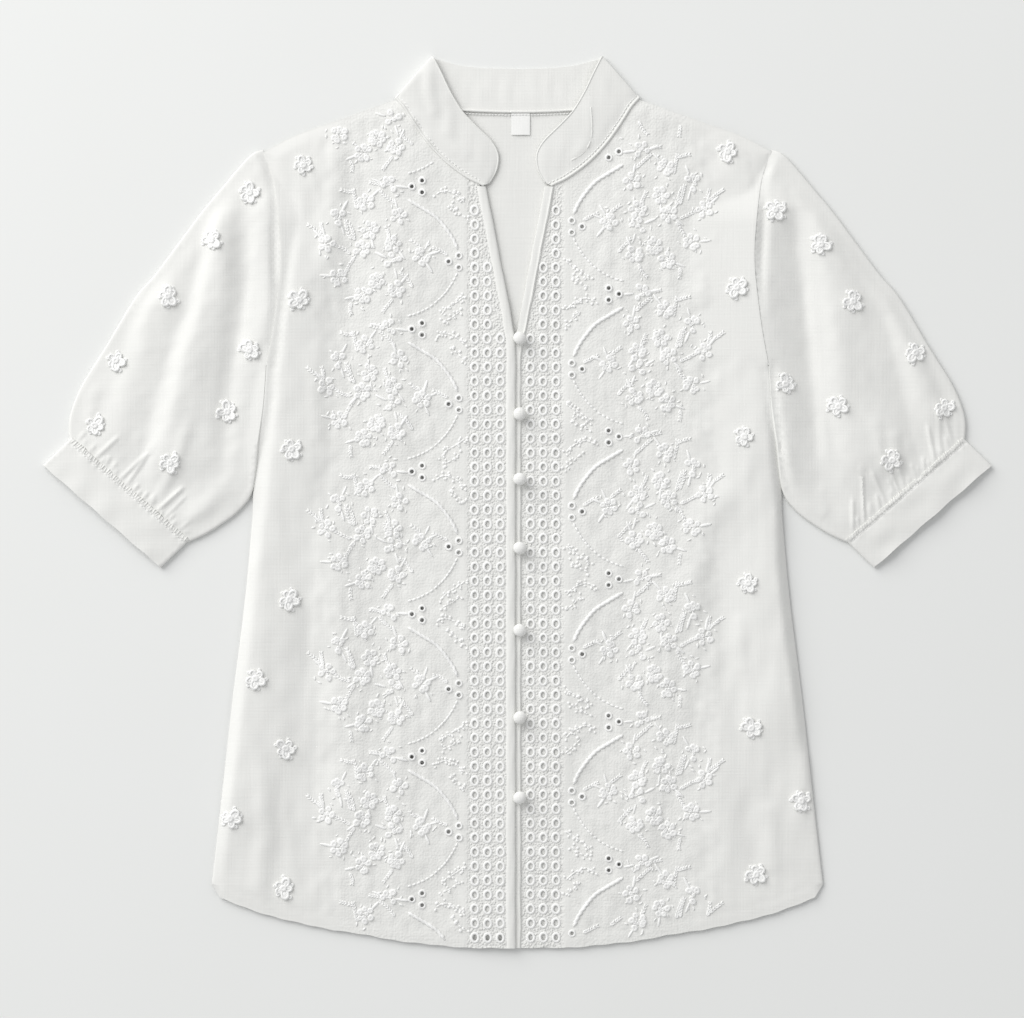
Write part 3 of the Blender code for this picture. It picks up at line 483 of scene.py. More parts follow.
def frontTop(x, y, side):
    # The visible face of one front, folds and hem included.
    x, y = np.asarray(x, float), np.asarray(y, float)
    toSide = awayFrom(x, y, mirrored(sideLine, side))
    toSewn = awayFrom(x, y, mirrored(armholeLine + shoulderLine, side))
    toHem = awayFrom(x, y, mirrored(hemLine, side))
    settle = smoothStep(np.minimum(toSewn, toHem * 0.6) / front["settle"])
    rise = front["rest"] + foldHeight(x, y, frontFolds[side])
    # Long waves, short ones, and the puckers of the embroidered stretch.
    rise = rise + front["longWave"] * softWaves(x, y * 0.7, 3 + side, 30, 110)
    rise = rise + front["shortWave"] * softWaves(x, y * 0.5, 9 + side, 12, 26)
    out = side * x
    stitched = smoothStep((out - 40) / 12) * (1 - smoothStep((out - 150) / 25))
    rise = rise + front["pucker"] * stitched * softWaves(x, y * 0.7, 51 + side, 7, 18)
    beside = out - edgeOut(y, side) - front["bandWidth"]
    nearEdge = 1 - smoothStep(beside / front["liftWidth"])
    lift = bandLift(y, side) + (0.3 if side < 0 else 0.0)
    lift = lift + 0.1 * softWaves(x, y, 15 + side, 24, 70)
    height = front["floor"] + np.maximum(0.0, rise * (0.12 + 0.88 * settle)) * (1 - nearEdge)
    height = height + lift * nearEdge + front["cloth"]
    # The turned hem is thicker, and the sewn edges lie a little lower.
    height = height + front["hemRise"] * (1 - smoothStep((toHem - front["hemDepth"] + 0.6) / 1.2))
    height = height - front["sewnSink"] * (1 - smoothStep(toSewn / 2.5))
    fall = front["fall"][side]
    height = np.maximum(height, seamLevel(y, side) + 0.4 - fall * np.maximum(0, toSewn - 1.0))
    # The side edge rolls down to the back, or onto the sleeve where one lies beside it.
    rim = front["rim"] + front["rimRise"][side] * smoothStep((y - 2) / 86)
    height = np.maximum(height, rim + 0.4 - fall * toSide)
    roll = np.clip(1 - toSide / front["roll"], 0, 1)
    return rim + (height - rim) * np.sqrt(1 - 0.99 * roll ** 2)


eyelets = {
    "columns": (12.1, 22.3, 32.5), "pitch": 11.4, "rows": 53, "lowest": -347.5,
    "halfWidth": 1.8, "halfHeight": 2.5, "corners": 14, "clearance": 10.6, "neckClearance": 5.0,
    "ring": 1.12, "ringRise": 0.62, "ringOut": 0.95,
}
motif = {
    "repeat": 114.0, "phase": {1: 107.0, -1: 193.0}, "reference": 43.0,
    "innerTrio": (2.2, 0.0), "outerTrio": (31.6, -54.0), "pairHalf": 4.75, "third": 8.2,
    "trioHole": 1.55, "trioRing": 1.0,
    "rope": [(3.4, 10), (7, 18), (13, 27), (21, 36), (32, 43), (43, 49.5)],
    "stitched": [(3.5, -9), (7, -16), (12.4, -24), (19, -31), (26, -36.5), (36, -41.5), (43, -43.6)],
}


def placesOf(side):
    # Where each repeat of the embroidery starts on one front.
    return [motif["phase"][side] - repeat * motif["repeat"] for repeat in range(-2, 6)]


def atMotif(side, start, out, up):
    return side * (motif["reference"] + out) + front["centreLine"], start + up


# The lowest and highest x and y of each sampled field reach just past its cloth.
frontHeight = {
    -1: heightField(lambda x, y: frontTop(x, y, -1), (-252, -362), (4, 330)),
    1: heightField(lambda x, y: frontTop(x, y, 1), (-8, -362), (252, 330)),
}
print("front heights ready")


def frontLoop(side):
    reach = front["bandWidth"] - front["tuck"]
    inner = [(float(edgeOut(y, side)) + reach, y) for _, y in frontEdgeLine if -352 < y < 250]
    corner = (float(edgeOut(-354, side)) + reach, -356.0)
    neckEnd = (float(edgeOut(253.2, side)) + reach, 256.0)
    hem = [point for point in hemLine if point[0] > corner[0] + 3]
    half = loopOf([corner] + hem, sideLine, armholeLine, shoulderLine, neckLine, [neckEnd], inner)
    return loopOf(mirrored(half, side))


def eyeletPlaces(side):
    places = []
    for row in range(eyelets["rows"]):
        y = eyelets["lowest"] + row * eyelets["pitch"]
        for column in eyelets["columns"]:
            x = side * column + front["centreLine"]
            beside = side * x - float(edgeOut(y, side))
            if beside > eyelets["clearance"] and awayFrom(side * x, y, neckLine) > eyelets["neckClearance"]:
                places.append((x, y))
    return places


def trioPlaces(side, loop):
    places = []
    for start in placesOf(side):
        for out, up in (motif["innerTrio"], motif["outerTrio"]):
            for dx, dy in ((0, motif["pairHalf"]), (0, -motif["pairHalf"]), (motif["third"], 0)):
                x, y = atMotif(side, start, out + dx, up + dy)
                if insideOf(x, y, loop) and awayFrom(x, y, loop + loop[:1]) > 9:
                    places.append((x, y))
    return places


def ovalPoints(x, y, wide, high, count):
    turns = [2 * math.pi * (k + 0.5) / count for k in range(count)]
    return [(x + wide * math.cos(t), y + high * math.sin(t)) for t in turns]


# Sheets: back and fronts.

back = {"top": 1.1, "thickness": 0.45, "grid": 4.5, "gap": 0.6, "innerGap": 0.25, "wave": 0.22,
        "hemRise": 0.25, "underFrom": {-1: 6.0, 1: 8.6}, "underTo": 56}
fullLine = (hemLine + sideLine[1:] + armholeLine[1:] + shoulderLine[1:]
            + smoothLine(outline["backNeck"], lineStep)[1:])
backLoop = loopOf(fullLine, mirrored(fullLine, -1)[::-1])
points, triangles = triangulate(backLoop, [], gridPoints(backLoop, back["grid"]))
px, py = np.array(points).T
pz = back["top"] + back["wave"] * softWaves(px, py, 31, 40, 120)
toHem = np.minimum(awayFrom(px, py, hemLine), awayFrom(px, py, mirrored(hemLine, -1)))
pz = np.maximum(pz + back["hemRise"] * (1 - smoothStep((toHem - 7.4) / 1.2)), 0.6)
for side in (-1, 1):
    # Under the eyelets the back lies close to the front, so the holes stay pale.
    out = side * px
    under = smoothStep((out - edgeOut(py, side) - back["underFrom"][side]) / 3.0)
    under = under * smoothStep((back["underTo"] - out) / 14.0)
    under = under * smoothStep((250 - py) / 12.0) * smoothStep((toHem - 4) / 10.0)
    innermost = (1 - smoothStep((out - edgeOut(py, side) - 15) / 4.0)) * (side < 0)
    gap = back["gap"] + (back["innerGap"] - back["gap"]) * innermost
    pz = pz + under * np.maximum(frontHeight[side](px, py) - front["thickness"] - gap - pz, 0)
backPanel = addPiece("backPanel", np.column_stack([px, py, pz]), triangles, cotton)
thicken(backPanel, back["thickness"])
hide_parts("back")

frontPieces, frontLoops = {}, {}
for side in (-1, 1):
    loop = frontLoop(side)
    frontLoops[side] = loop
    bigHoles = eyeletPlaces(side)
    smallHoles = trioPlaces(side, loop)
    wide, high, around = eyelets["halfWidth"], eyelets["halfHeight"], eyelets["corners"]
    holes = [ovalPoints(x, y, wide, high, around) for x, y in bigHoles]
    holes += [ovalPoints(x, y, motif["trioHole"], motif["trioHole"], 12) for x, y in smallHoles]
    clear = [(x, y, front["holeClear"]) for x, y in bigHoles]
    clear += [(x, y, front["smallHoleClear"]) for x, y in smallHoles]
    loose = gridPoints(loop, front["grid"], clear, 3.6)
    for x, y in bigHoles:
        loose += ovalPoints(x, y, wide + front["ringRow"], high + front["ringRow"], around)
    loose += rimPoints(loop, front["rimRows"])
    points, triangles = triangulate(loop, holes, loose)
    px, py = np.array(points).T
    corners = np.column_stack([px, py, frontTop(px, py, side)])
    piece = addPiece(f"front{sides[side]}", corners, triangles, eyeletCotton)
    thicken(piece, front["thickness"])
    out = np.array([side * v.co.x / mm - side * front["centreLine"] for v in piece.data.vertices])
    # Seed stitches are close between the eyelets and sparse between the flowers.
    mask = smoothStep((39.5 - out) / 3.0)
    mask = mask + 0.22 * smoothStep((out - 42) / 4.0) * (1 - smoothStep((out - 132) / 20.0))
    piece.data.attributes.new("stippled", "FLOAT", "POINT").data.foreach_set("value", mask)
    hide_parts(nodeOf("front", side))
    frontPieces[side] = piece
print("back and fronts ready")


# Sleeves and cuffs.

sleeve = {"edgeTop": 3.9, "rest": 0.9, "bottom": 0.6, "bulge": 1.5, "thickness": 0.45,
          "grid": 3.2, "close": (1.5, 32.0), "settle": 17.0, "underSeam": 1.6,
          "beside": {-1: 3.6, 1: 6.0}, "besideFall": {-1: 0.24, 1: 0.33},
          "longWave": 0.45, "shortWave": 0.12, "lowest": 1.8}
cuff = {"depth": 30.3, "skew": 2.8, "rise": 1.5, "lap": 1.2, "bulge": 0.8, "thickness": 0.9,
        "grid": 2.2, "close": (0.9, 5.0), "wave": 0.6, "ridge": 0.6, "groove": 0.35, "pucker": 0.3,
        "edgeWave": 0.25, "topstitchOut": 2.9}
sleeveFolds = {
    -1: [
        ([(-236, 250), (-240, 194), (-251, 154), (-264, 114), (-272, 82), (-280, 50), (-288, 8)],
         (20, 50), (14, 20), 5.6),
        ([(-218, 236), (-221, 194), (-224, 154), (-228, 114), (-233, 82), (-235, 50), (-238, 18)],
         12, 13, -1.5),
        ([(-198, 256), (-199, 194), (-197, 150), (-204, 110)], 7, (22, 24), 4.2),
        ([(-272, 190), (-295, 154), (-302, 114), (-310, 82), (-322, 50), (-330, 24)],
         (28, 30), (15, 24), 2.4),
        ([(-230, 20), (-246, 0), (-266, -18)], 12, 14, 1.6),
        ([(-338, 96), (-344, 60)], 9, 10, 1.0),
        ([(-262, 66), (-272, 30), (-290, 0)], 7, 8, 1.2),
    ],
    1: [
        ([(200, 262), (204, 234), (201, 194), (199, 154), (203, 114), (208, 82), (214, 46), (222, 10)],
         (26, 40), 12, 6.2),
        ([(219, 240), (223, 194), (228, 154), (232, 114), (235, 82), (237, 50), (240, 18)], 11, 27, -3.8),
        ([(232, 248), (247, 194), (257, 138), (263, 82), (268, 50), (276, 0)],
         (30, 52), (16, 26), 5.6),
        ([(258, 224), (277, 194), (303, 154), (318, 114), (328, 82), (342, 48)], 16, (12, 20), 3.6),
        ([(226, -2), (246, -14)], 10, 12, 1.2),
        ([(300, 60), (306, 20)], 8, 9, 1.2),
        ([(286, 70), (292, 24)], 7, 8, 0.9),
    ],
}


def sleeveFrame(side):
    outer = mirrored(smoothLine(outline["sleeveOuter"], lineStep), side)
    inner = mirrored(smoothLine(outline["sleeveInner"], lineStep), side)
    a, b = np.array(outer[-1]), np.array(inner[-1])
    count = round(float(np.linalg.norm(b - a)) / 2.4)
    seam = [tuple(a + (b - a) * k / count) for k in range(count + 1)]
    way = (b - a) / np.linalg.norm(b - a)
    down = np.array([-way[1], way[0]])
    if down[1] > 0:
        down = -down
    return outer, inner, seam, way, down


# Short uneven gathers that start at the cuff seam: runs, spacing, reach and rise are drawn at random.
gather = {"runs": ((5, 10), (7, 16), (18, 46)), "lean": {-1: (-0.22, 0.18), 1: (-0.85, -0.25)},
          "pitch": (3.6, 7.2), "reach": (1.7, 3.6), "rise": (0.7, 1.5)}
gathers = {}
for side in (-1, 1):
    outer, inner, seam, way, down = sleeveFrame(side)
    length = math.dist(seam[0], seam[-1])
    at, drawn = 5.0, []
    while at < length - 4:
        run = dice.choice([dice.uniform(*bounds) for bounds in gather["runs"]])
        lean = dice.uniform(*gather["lean"][side])
        first = np.array(seam[0]) + way * at - down * 0.5
        last = first - down * run + way * run * lean
        drawn.append(([tuple(first + down * 6), tuple(first), tuple((first + last) / 2), tuple(last)],
                      *(dice.uniform(*gather[key]) for key in ("reach", "reach", "rise"))))
        at += dice.uniform(*gather["pitch"])
    gathers[side] = drawn


def sleeveTop(x, y, side):
    x, y = np.asarray(x, float), np.asarray(y, float)
    outer, inner, seam, way, down = sleeveFrame(side)
    toInner = awayFrom(x, y, inner) * (1 + 1.6 * smoothStep(y / 40))
    settle = smoothStep(np.minimum(awayFrom(x, y, outer), toInner) / sleeve["settle"])
    toSeam = awayFrom(x, y, seam)
    nearCuff = 1 - smoothStep((toSeam - 2) / 26.0)
    rise = sleeve["rest"] + foldHeight(x, y, sleeveFolds[side]) * (1 - 0.45 * nearCuff)
    rise = rise + sleeve["longWave"] * softWaves(x, y, 21 + side, 26, 90)
    rise = rise + sleeve["shortWave"] * softWaves(x, y, 27 + side, 10, 22)
    height = np.maximum(sleeve["edgeTop"] + settle * rise, sleeve["lowest"])
    # Beside the body the sleeve stands up to the front's edge.
    beside = sleeve["beside"][side] * smoothStep((y + 10) / 90)
    beside = beside - sleeve["besideFall"][side] * awayFrom(x, y, inner)
    height = np.maximum(height, sleeve["edgeTop"] + beside)
    # Close to the cuff the cloth comes down to the seam, and only its gathers stand up.
    atSeam = sleeve["edgeTop"] + cuff["rise"] * settle - 0.1
    height = atSeam + (height - atSeam) * smoothStep(toSeam / 16.0)
    height = height + foldHeight(x, y, gathers[side]) * (0.3 + 0.7 * smoothStep(toSeam / 7.0)) * settle
    toHead = awayFrom(x, y, mirrored(armholeLine, side))
    level = seamLevel(y, side)
    return level + (height - level) * smoothStep((toHead - 0.5) / 6.0)


def clothTube(name, outer, end, inner, start, top, bottom, spec, seam):
    # A flattened tube: one layer above, one below, and round folds along its two long sides.
    loop = loopOf(outer, end, inner[::-1], start)
    # The cloth near the cuff seam needs closer points, for its gathers and stitching.
    closest, reach = spec["close"]
    loose = []
    for spacing, near in ((closest, True), (spec["grid"], False)):
        found = gridPoints(loop, spacing, (), 1.2)
        x, y = np.array(found).T
        away = awayFrom(x, y, seam)
        loose += [point for point, gap in zip(found, away) if (gap < reach) == near]
    points, triangles = triangulate(loop, [], loose)
    px, py = np.array(points).T
    corners = list(zip(px, py, top(px, py))) + list(zip(px, py, bottom(px, py)))
    count, size = len(points), len(loop)
    faces = list(triangles) + [[count + c, count + b, count + a] for a, b, c in triangles]
    ends = {tuple(round(v, 3) for v in p) for p in list(start)[1:-1] + list(end)[1:-1]}
    onFold = [tuple(round(v, 3) for v in point) not in ends for point in loop]
    steps, ring = 3, {}
    for i, point in enumerate(loop):
        along = np.array(loop[(i + 1) % size]) - np.array(loop[i - 1])
        outward = np.array([along[1], -along[0]]) / max(np.linalg.norm(along), 1e-9)
        high, low = corners[i][2], corners[count + i][2]
        ring[i] = [i]
        for k in range(1, steps + 1):
            turn = math.pi * k / (steps + 1)
            ring[i].append(len(corners))
            corners.append((point[0] + outward[0] * spec["bulge"] * math.sin(turn),
                            point[1] + outward[1] * spec["bulge"] * math.sin(turn),
                            (high + low) / 2 + (high - low) / 2 * math.cos(turn)))
        ring[i].append(count + i)
    for i in range(size):
        j = (i + 1) % size
        if onFold[i] and onFold[j]:
            for k in range(steps + 1):
                faces.append([ring[i][k], ring[i][k + 1], ring[j][k + 1], ring[j][k]])
    used = sorted({corner for face in faces for corner in face})
    renamed = {old: new for new, old in enumerate(used)}
    faces = [[renamed[corner] for corner in face] for face in faces]
    piece = addPiece(name, [corners[old] for old in used], faces, cotton)
    thicken(piece, spec["thickness"])
    return piece


def cuffTop(x, y, side):
    # The visible face of one cuff, with its seam, the groove of its topstitching and puckers.
    x, y = np.asarray(x, float), np.asarray(y, float)
    outer, inner, seam, way, down = sleeveFrame(side)
    drop = down * cuff["depth"]
    ends = [awayFrom(x, y, [end, tuple(np.array(end) + drop - way * cuff["skew"])])
            for end in (seam[0], seam[-1])]
    settle = smoothStep(np.minimum(*ends) / 20.0)
    toSeam = awayFrom(x, y, seam)
    height = sleeve["edgeTop"] + cuff["rise"] * settle
    height = height + cuff["wave"] * softWaves(x, y, 41 + side, 20, 52) * settle
    ridge = cuff["ridge"] * np.exp(-((toSeam - 0.8) / 1.2) ** 2)
    groove = cuff["groove"] * np.exp(-((toSeam - cuff["topstitchOut"]) / 0.8) ** 2)
    pucker = cuff["pucker"] * softWaves(x, y, 47 + side, 5, 9) * np.exp(-(toSeam / 5.0) ** 2)
    return height + ridge - groove + pucker + 0.4


sleeveHeight = {
    -1: heightField(lambda x, y: sleeveTop(x, y, -1), (-362, -36), (-184, 290)),
    1: heightField(lambda x, y: sleeveTop(x, y, 1), (184, -36), (362, 290)),
}
print("sleeve heights ready")

sleevePieces, cuffPieces = {}, {}
for side in (-1, 1):
    outer, inner, seam, way, down = sleeveFrame(side)
    under = sleeve["underSeam"]
    armhole = [(x - side * under, y) for x, y in mirrored(armholeLine, side)[1:-1]]
    start = [inner[0]] + armhole + [outer[0]]
    piece = clothTube(f"sleeve{sides[side]}", outer, seam, inner, start,
                      lambda x, y: sleeveTop(x, y, side),
                      lambda x, y: sleeve["bottom"] + 0.15 * (1 + softWaves(x, y, 33, 20, 60)),
                      sleeve, seam)
    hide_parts(nodeOf("sleeve", side))
    sleevePieces[side] = piece
    a = np.array(seam[0]) - down * cuff["lap"]
    b = np.array(seam[-1]) - down * cuff["lap"]
    drop = down * (cuff["depth"] + cuff["lap"]) - way * cuff["skew"]
    count = len(seam) - 1
    cuffStart = [tuple(b + (a - b) * k / count) for k in range(count + 1)]
    cuffEnd = [tuple(a + drop + (b - a) * k / count + down * cuff["edgeWave"] * math.sin(k * 0.55 + side))
               for k in range(count + 1)]
    cuffOuter = [tuple(a + (cuffEnd[0] - a) * k / 8) for k in range(9)]
    cuffInner = [tuple(b + (cuffEnd[-1] - b) * k / 8) for k in range(9)]
    piece = clothTube(f"cuff{sides[side]}", cuffOuter, cuffEnd, cuffInner, cuffStart,
                      lambda x, y: cuffTop(x, y, side), lambda x, y: 0.0 * x + 0.4, cuff, seam)
    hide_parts(nodeOf("cuff", side))
    cuffPieces[side] = piece
print("sleeves and cuffs ready")


# Collar.

collar = {
    # seam out, seam up, top out, top up, seam height, top height
    "wing": [(25.6, 254.6, 22.4, 256.2, 2.3, 2.4), (29.6, 256.8, 16.8, 266.0, 2.3, 2.6),
             (33.8, 259.0, 15.0, 276.0, 2.4, 2.9), (37.9, 261.2, 16.6, 283.0, 2.5, 3.2),
             (46.7, 267.0, 21.5, 290.6, 2.7, 3.6), (55.9, 274.3, 28.4, 297.4, 2.9, 4.0),
             (64.5, 282.8, 36.0, 304.8, 3.1, 4.3), (71.8, 291.4, 43.6, 313.0, 3.3, 4.6),
             (78.9, 301.4, 49.6, 322.2, 3.5, 4.9), (84.4, 309.8, 55.0, 332.0, 3.7, 5.1),
             (89.4, 317.8, 59.6, 342.0, 3.9, 5.3)],
    "foldSeam": (96.0, 325.2), "foldTop": (68.0, 357.0), "foldHeights": (3.4, 4.9), "foldSteps": 7,
    "back": [(84.0, 321.5, 58.6, 353.4), (66.0, 317.7, 46.0, 350.2), (45.0, 314.9, 31.0, 348.4),
             (22.0, 313.7, 15.0, 347.7), (0.0, 313.3, 0.0, 347.5)],
    "across": 14, "step": 3.0, "thickness": 1.0, "lift": 0.7, "lap": 2.4, "swell": 2.2,
    "crease": {-1: [([(-72, 350), (-71, 330), (-66, 306)], 8, 6, 1.3),
                    ([(-58, 330), (-54, 312), (-58, 290)], 7, 8, 0.7), ([(-52, 286), (-38, 276)], 8, 8, 0.6)],
               1: [([(56.5, 324), (58.6, 302), (56.5, 287), (43, 274)], 4, 7, 0.6)]},
}


def collarLines():
    half = []
    for seamOut, seamUp, topOut, topUp, seamZ, topZ in collar["wing"]:
        half.append(((seamOut, seamUp, seamZ), (topOut, topUp, topZ)))
    seamEnd, topEnd = np.array(collar["foldSeam"]), np.array(collar["foldTop"])
    way = (topEnd - seamEnd) / np.linalg.norm(topEnd - seamEnd)
    outward = np.array([way[1], -way[0]])
    for step in range(collar["foldSteps"]):
        turn = math.pi / 2 - math.pi * (step + 0.5) / collar["foldSteps"]
        pair = []
        for place, high in ((seamEnd, collar["foldHeights"][0]), (topEnd, collar["foldHeights"][1])):
            radius = high / 2
            edge = place + outward * radius * (math.cos(turn) - 1)
            pair.append((edge[0], edge[1], 0.6 + radius * (1 + math.sin(turn))))
        half.append(tuple(pair))
    for seamOut, seamUp, topOut, topUp in collar["back"]:
        half.append(((seamOut, seamUp - 1.2, 1.75), (topOut, topUp, 0.7)))
    other = [tuple((-x, y, z) for x, y, z in pair) for pair in half[:-1]]
    return half + other[::-1]


# Both edges get the same number of points between two lines.
seamEdge, topEdge = ([np.array(point) for point in edge] for edge in zip(*collarLines()))
seamRun, topRun = [], []
for i in range(len(seamEdge) - 1):
    span = max(math.dist(seamEdge[i], seamEdge[i + 1]), math.dist(topEdge[i], topEdge[i + 1]))
    count = max(2, round(span / collar["step"]))
    seamRun += [curvePoint(seamEdge, i, k / count) for k in range(count)]
    topRun += [curvePoint(topEdge, i, k / count) for k in range(count)]
seamRun.append(seamEdge[-1])
topRun.append(topEdge[-1])
rows, across = len(seamRun), collar["across"]
corners = []
for seamPoint, topPoint in zip(seamRun, topRun):
    for k in range(across + 1):
        share = k / across
        point = seamPoint + (topPoint - seamPoint) * share
        onWing = smoothStep((point[2] - 1.9) / 0.5)
        point = point + np.array([0, 0, collar["lift"] * math.sin(math.pi * share) * float(onWing)])
        side = -1 if point[0] < 0 else 1
        if side < 0:
            # The right wing stands highest by its seam and falls towards its free edge.
            point[2] += collar["swell"] * float(smoothStep(share / 0.25)) * (1 - share) * float(onWing)
        if onWing > 0:
            outward = seamPoint - topPoint
            outward = outward / max(np.linalg.norm(outward), 1e-9)
            point = point + outward * collar["lap"] * (1 - share) * float(onWing)
            sewn = float(frontHeight[side](point[0], point[1])) + 0.25
            low = float(onWing) * (1 - smoothStep(share / 0.25))
            point[2] = point[2] * (1 - low) + sewn * low
        point[2] += float(onWing) * float(foldHeight(point[0], point[1], collar["crease"][side]))
        point[2] += 0.25 * float(softWaves(point[0], point[1] * 0.3, 61, 7, 18)) * math.sin(math.pi * share)
        corners.append(point)
collarCorners = corners
faces = [[a, d, c, b] for a, b, c, d in gridFaces(rows, across + 1)]
collarPiece = addPiece("collarBand", corners, faces, cotton)
thicken(collarPiece, collar["thickness"], 0.0)
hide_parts("collar")
print("collar ready")


# Bindings of the front edges.

# The strip wraps the cut edge, from its underside round the fold and back over the top.
binding = {
    -1: [(7.3, 0.06), (3.8, 0.0), (0.8, 0.03), (0.15, 0.2), (0.0, 0.45), (0.3, 0.76), (1.2, 1.0),
         (2.6, 1.1), (4.4, 1.14), (6.0, 1.04), (7.0, 0.86), (7.5, 0.6), (7.7, 0.4)],
    1: [(7.3, 0.06), (3.8, 0.0), (0.8, 0.03), (0.15, 0.2), (0.0, 0.45), (0.35, 0.8), (1.4, 0.9),
        (2.6, 0.92), (4.2, 0.92), (5.4, 0.88), (6.3, 1.16), (7.2, 1.0), (7.7, 0.4)],
    "thickness": 0.35}
for side in (-1, 1):
    corners = []
    for _, y in frontEdgeLine:
        base = front["floor"] + float(bandLift(y, side))
        wobble = 0.12 * math.sin(y / 9.0 + side) + 0.08 * math.sin(y / 3.7)
        for out, high in binding[side]:
            corners.append((side * (float(edgeOut(y, side)) + out + wobble), y,
                            base + high * (front["bandThick"] + 0.35 + 0.1 * math.sin(y / 5.3 + out))))
    faces = [face[::-side] for face in gridFaces(len(frontEdgeLine), len(binding[side]))]
    piece = addPiece(f"frontBinding{sides[side]}", corners, faces, cotton)
    thicken(piece, binding["thickness"])
    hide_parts(nodeOf("band", side))
print("bindings ready")


# Stitched work.

def sweep(path, wide, high, count, closed=False, strands=0, lay=0.0, depth=0.2):
    # A soft cord along a path of (x, y, z). wide and high are half sizes of its section, and
    # strands twists that many plies round it, one turn in each lay.
    path = np.array(path, float)
    n = len(path)
    if closed:
        ahead = np.roll(path, -1, 0) - np.roll(path, 1, 0)
    else:
        ahead = np.gradient(path, axis=0)
    ahead[:, 2] = 0
    ahead /= np.maximum(np.linalg.norm(ahead, axis=1), 1e-9)[:, None]
    leftward = np.column_stack([-ahead[:, 1], ahead[:, 0]])
    gaps = np.linalg.norm(np.diff(path, axis=0, append=path[:1]), axis=1)
    run = np.concatenate([[0], np.cumsum(gaps)])[:n + 1]
    wide = np.broadcast_to(np.asarray(wide, float), (n,))
    high = np.broadcast_to(np.asarray(high, float), (n,))
    turns = 2 * np.pi * np.arange(count) / count
    swell = np.ones((n, count))
    if strands:
        swell += depth * np.cos(strands * turns[None, :] - 2 * np.pi * run[:n, None] / lay)
    sideways = wide[:, None] * swell * np.cos(turns)
    upward = high[:, None] * swell * np.sin(turns)
    corners = np.stack([path[:, 0, None] + leftward[:, 0, None] * sideways,
                        path[:, 1, None] + leftward[:, 1, None] * sideways,
                        path[:, 2, None] + upward], axis=2).reshape(-1, 3)
    steps = n if closed else n - 1
    i, k = np.meshgrid(np.arange(steps), np.arange(count), indexing="ij")
    i, k = i.ravel(), k.ravel()
    j, m = (i + 1) % n, (k + 1) % count
    quads = np.column_stack([i * count + k, i * count + m, j * count + m, j * count + k])
    u0, u1 = run[i], run[i + 1]
    v = k / count * 3.0
    uvs = np.stack([np.column_stack([u0, v]), np.column_stack([u0, v + 3.0 / count]),
                    np.column_stack([u1, v + 3.0 / count]), np.column_stack([u1, v])], axis=1)
    caps = [] if closed else [list(range(count))[::-1], [(n - 1) * count + c for c in range(count)]]
    return corners, quads, uvs * mm, caps


class Stitchery:
    # Gathers many small shapes into one piece that follows the cloth below it.
    def __init__(self, ground):
        self.ground = ground
        self.corners, self.quads, self.uvs, self.caps = [], [], [], []
        self.count = 0

    def add(self, shape, x=0.0, y=0.0, turn=0.0, scale=1.0, lift=0.0):
        corners, quads, uvs, caps = shape
        c, s = math.cos(turn), math.sin(turn)
        px, py = corners[:, 0] * scale, corners[:, 1] * scale
        moved = np.column_stack([x + px * c - py * s, y + px * s + py * c, corners[:, 2] * scale + lift])
        self.corners.append(moved)
        self.quads.append(quads + self.count)
        self.uvs.append(uvs)
        self.caps += [[corner + self.count for corner in cap] for cap in caps]
        self.count += len(corners)

    def piece(self, name, material, slotName="cotton"):
        corners = np.concatenate(self.corners)
        corners[:, 2] += self.ground(corners[:, 0], corners[:, 1])
        quads = np.concatenate(self.quads)
        faces = quads.tolist() + self.caps
        item = addPiece(name, corners, faces, material)
        layer = item.data.uv_layers.new(name="thread")
        flat = np.concatenate(self.uvs).reshape(-1, 2)
        rest = len(item.data.loops) - len(flat)
        flat = np.concatenate([flat, np.zeros((rest, 2))])
        layer.data.foreach_set("uv", flat.ravel())
        print(f"  {name}: {len(quads) * 2} triangles")
        return item


def ovalRing(wide, high, tube, rise, around=16, section=6):
    turns = 2 * np.pi * np.arange(around) / around
    path = np.column_stack([wide * np.cos(turns), high * np.sin(turns), np.full(around, 0.1)])
    return sweep(path, tube, rise, section, closed=True)


def padded(length, wide, high, steps, section=6):
    # A satin-stitched leaf or bar, thick in its middle.
    t = np.linspace(0, 1, steps)
    belly = np.sqrt(np.maximum(np.sin(np.pi * (0.04 + 0.92 * t)), 0.0))
    path = np.column_stack([length * (t - 0.5), np.zeros(steps), np.full(steps, 0.1)])
    return sweep(path, wide * belly, high * belly, section)


def roundKnot(radius, rise, around=10):
    # A dimpled puff of thread, a little out of round.
    rows = [(1.0, -0.3), (0.97, 0.35), (0.8, 0.85), (0.52, 1.0), (0.26, 0.78), (0.06, 0.62)]
    turns = 2 * np.pi * np.arange(around) / around
    wobble = 1 + 0.07 * np.sin(2 * turns) + 0.05 * np.sin(3 * turns)
    corners = [(radius * share * w * math.cos(t), radius * share * w * math.sin(t), rise * high)
               for share, high in rows for t, w in zip(turns, wobble)]
    i, k = (grid.ravel() for grid in np.meshgrid(np.arange(len(rows) - 1), np.arange(around), indexing="ij"))
    m = (k + 1) % around
    quads = np.column_stack([i * around + k, i * around + m, (i + 1) * around + m, (i + 1) * around + k])
    step = 2 * np.pi * radius / around
    uvs = np.stack([np.column_stack([k * step, i]), np.column_stack([(k + 1) * step, i]),
                    np.column_stack([(k + 1) * step, i + 1]), np.column_stack([k * step, i + 1])], axis=1)
    last = (len(rows) - 1) * around
    return np.array(corners), quads, uvs * mm, [[last + c for c in range(around)]]


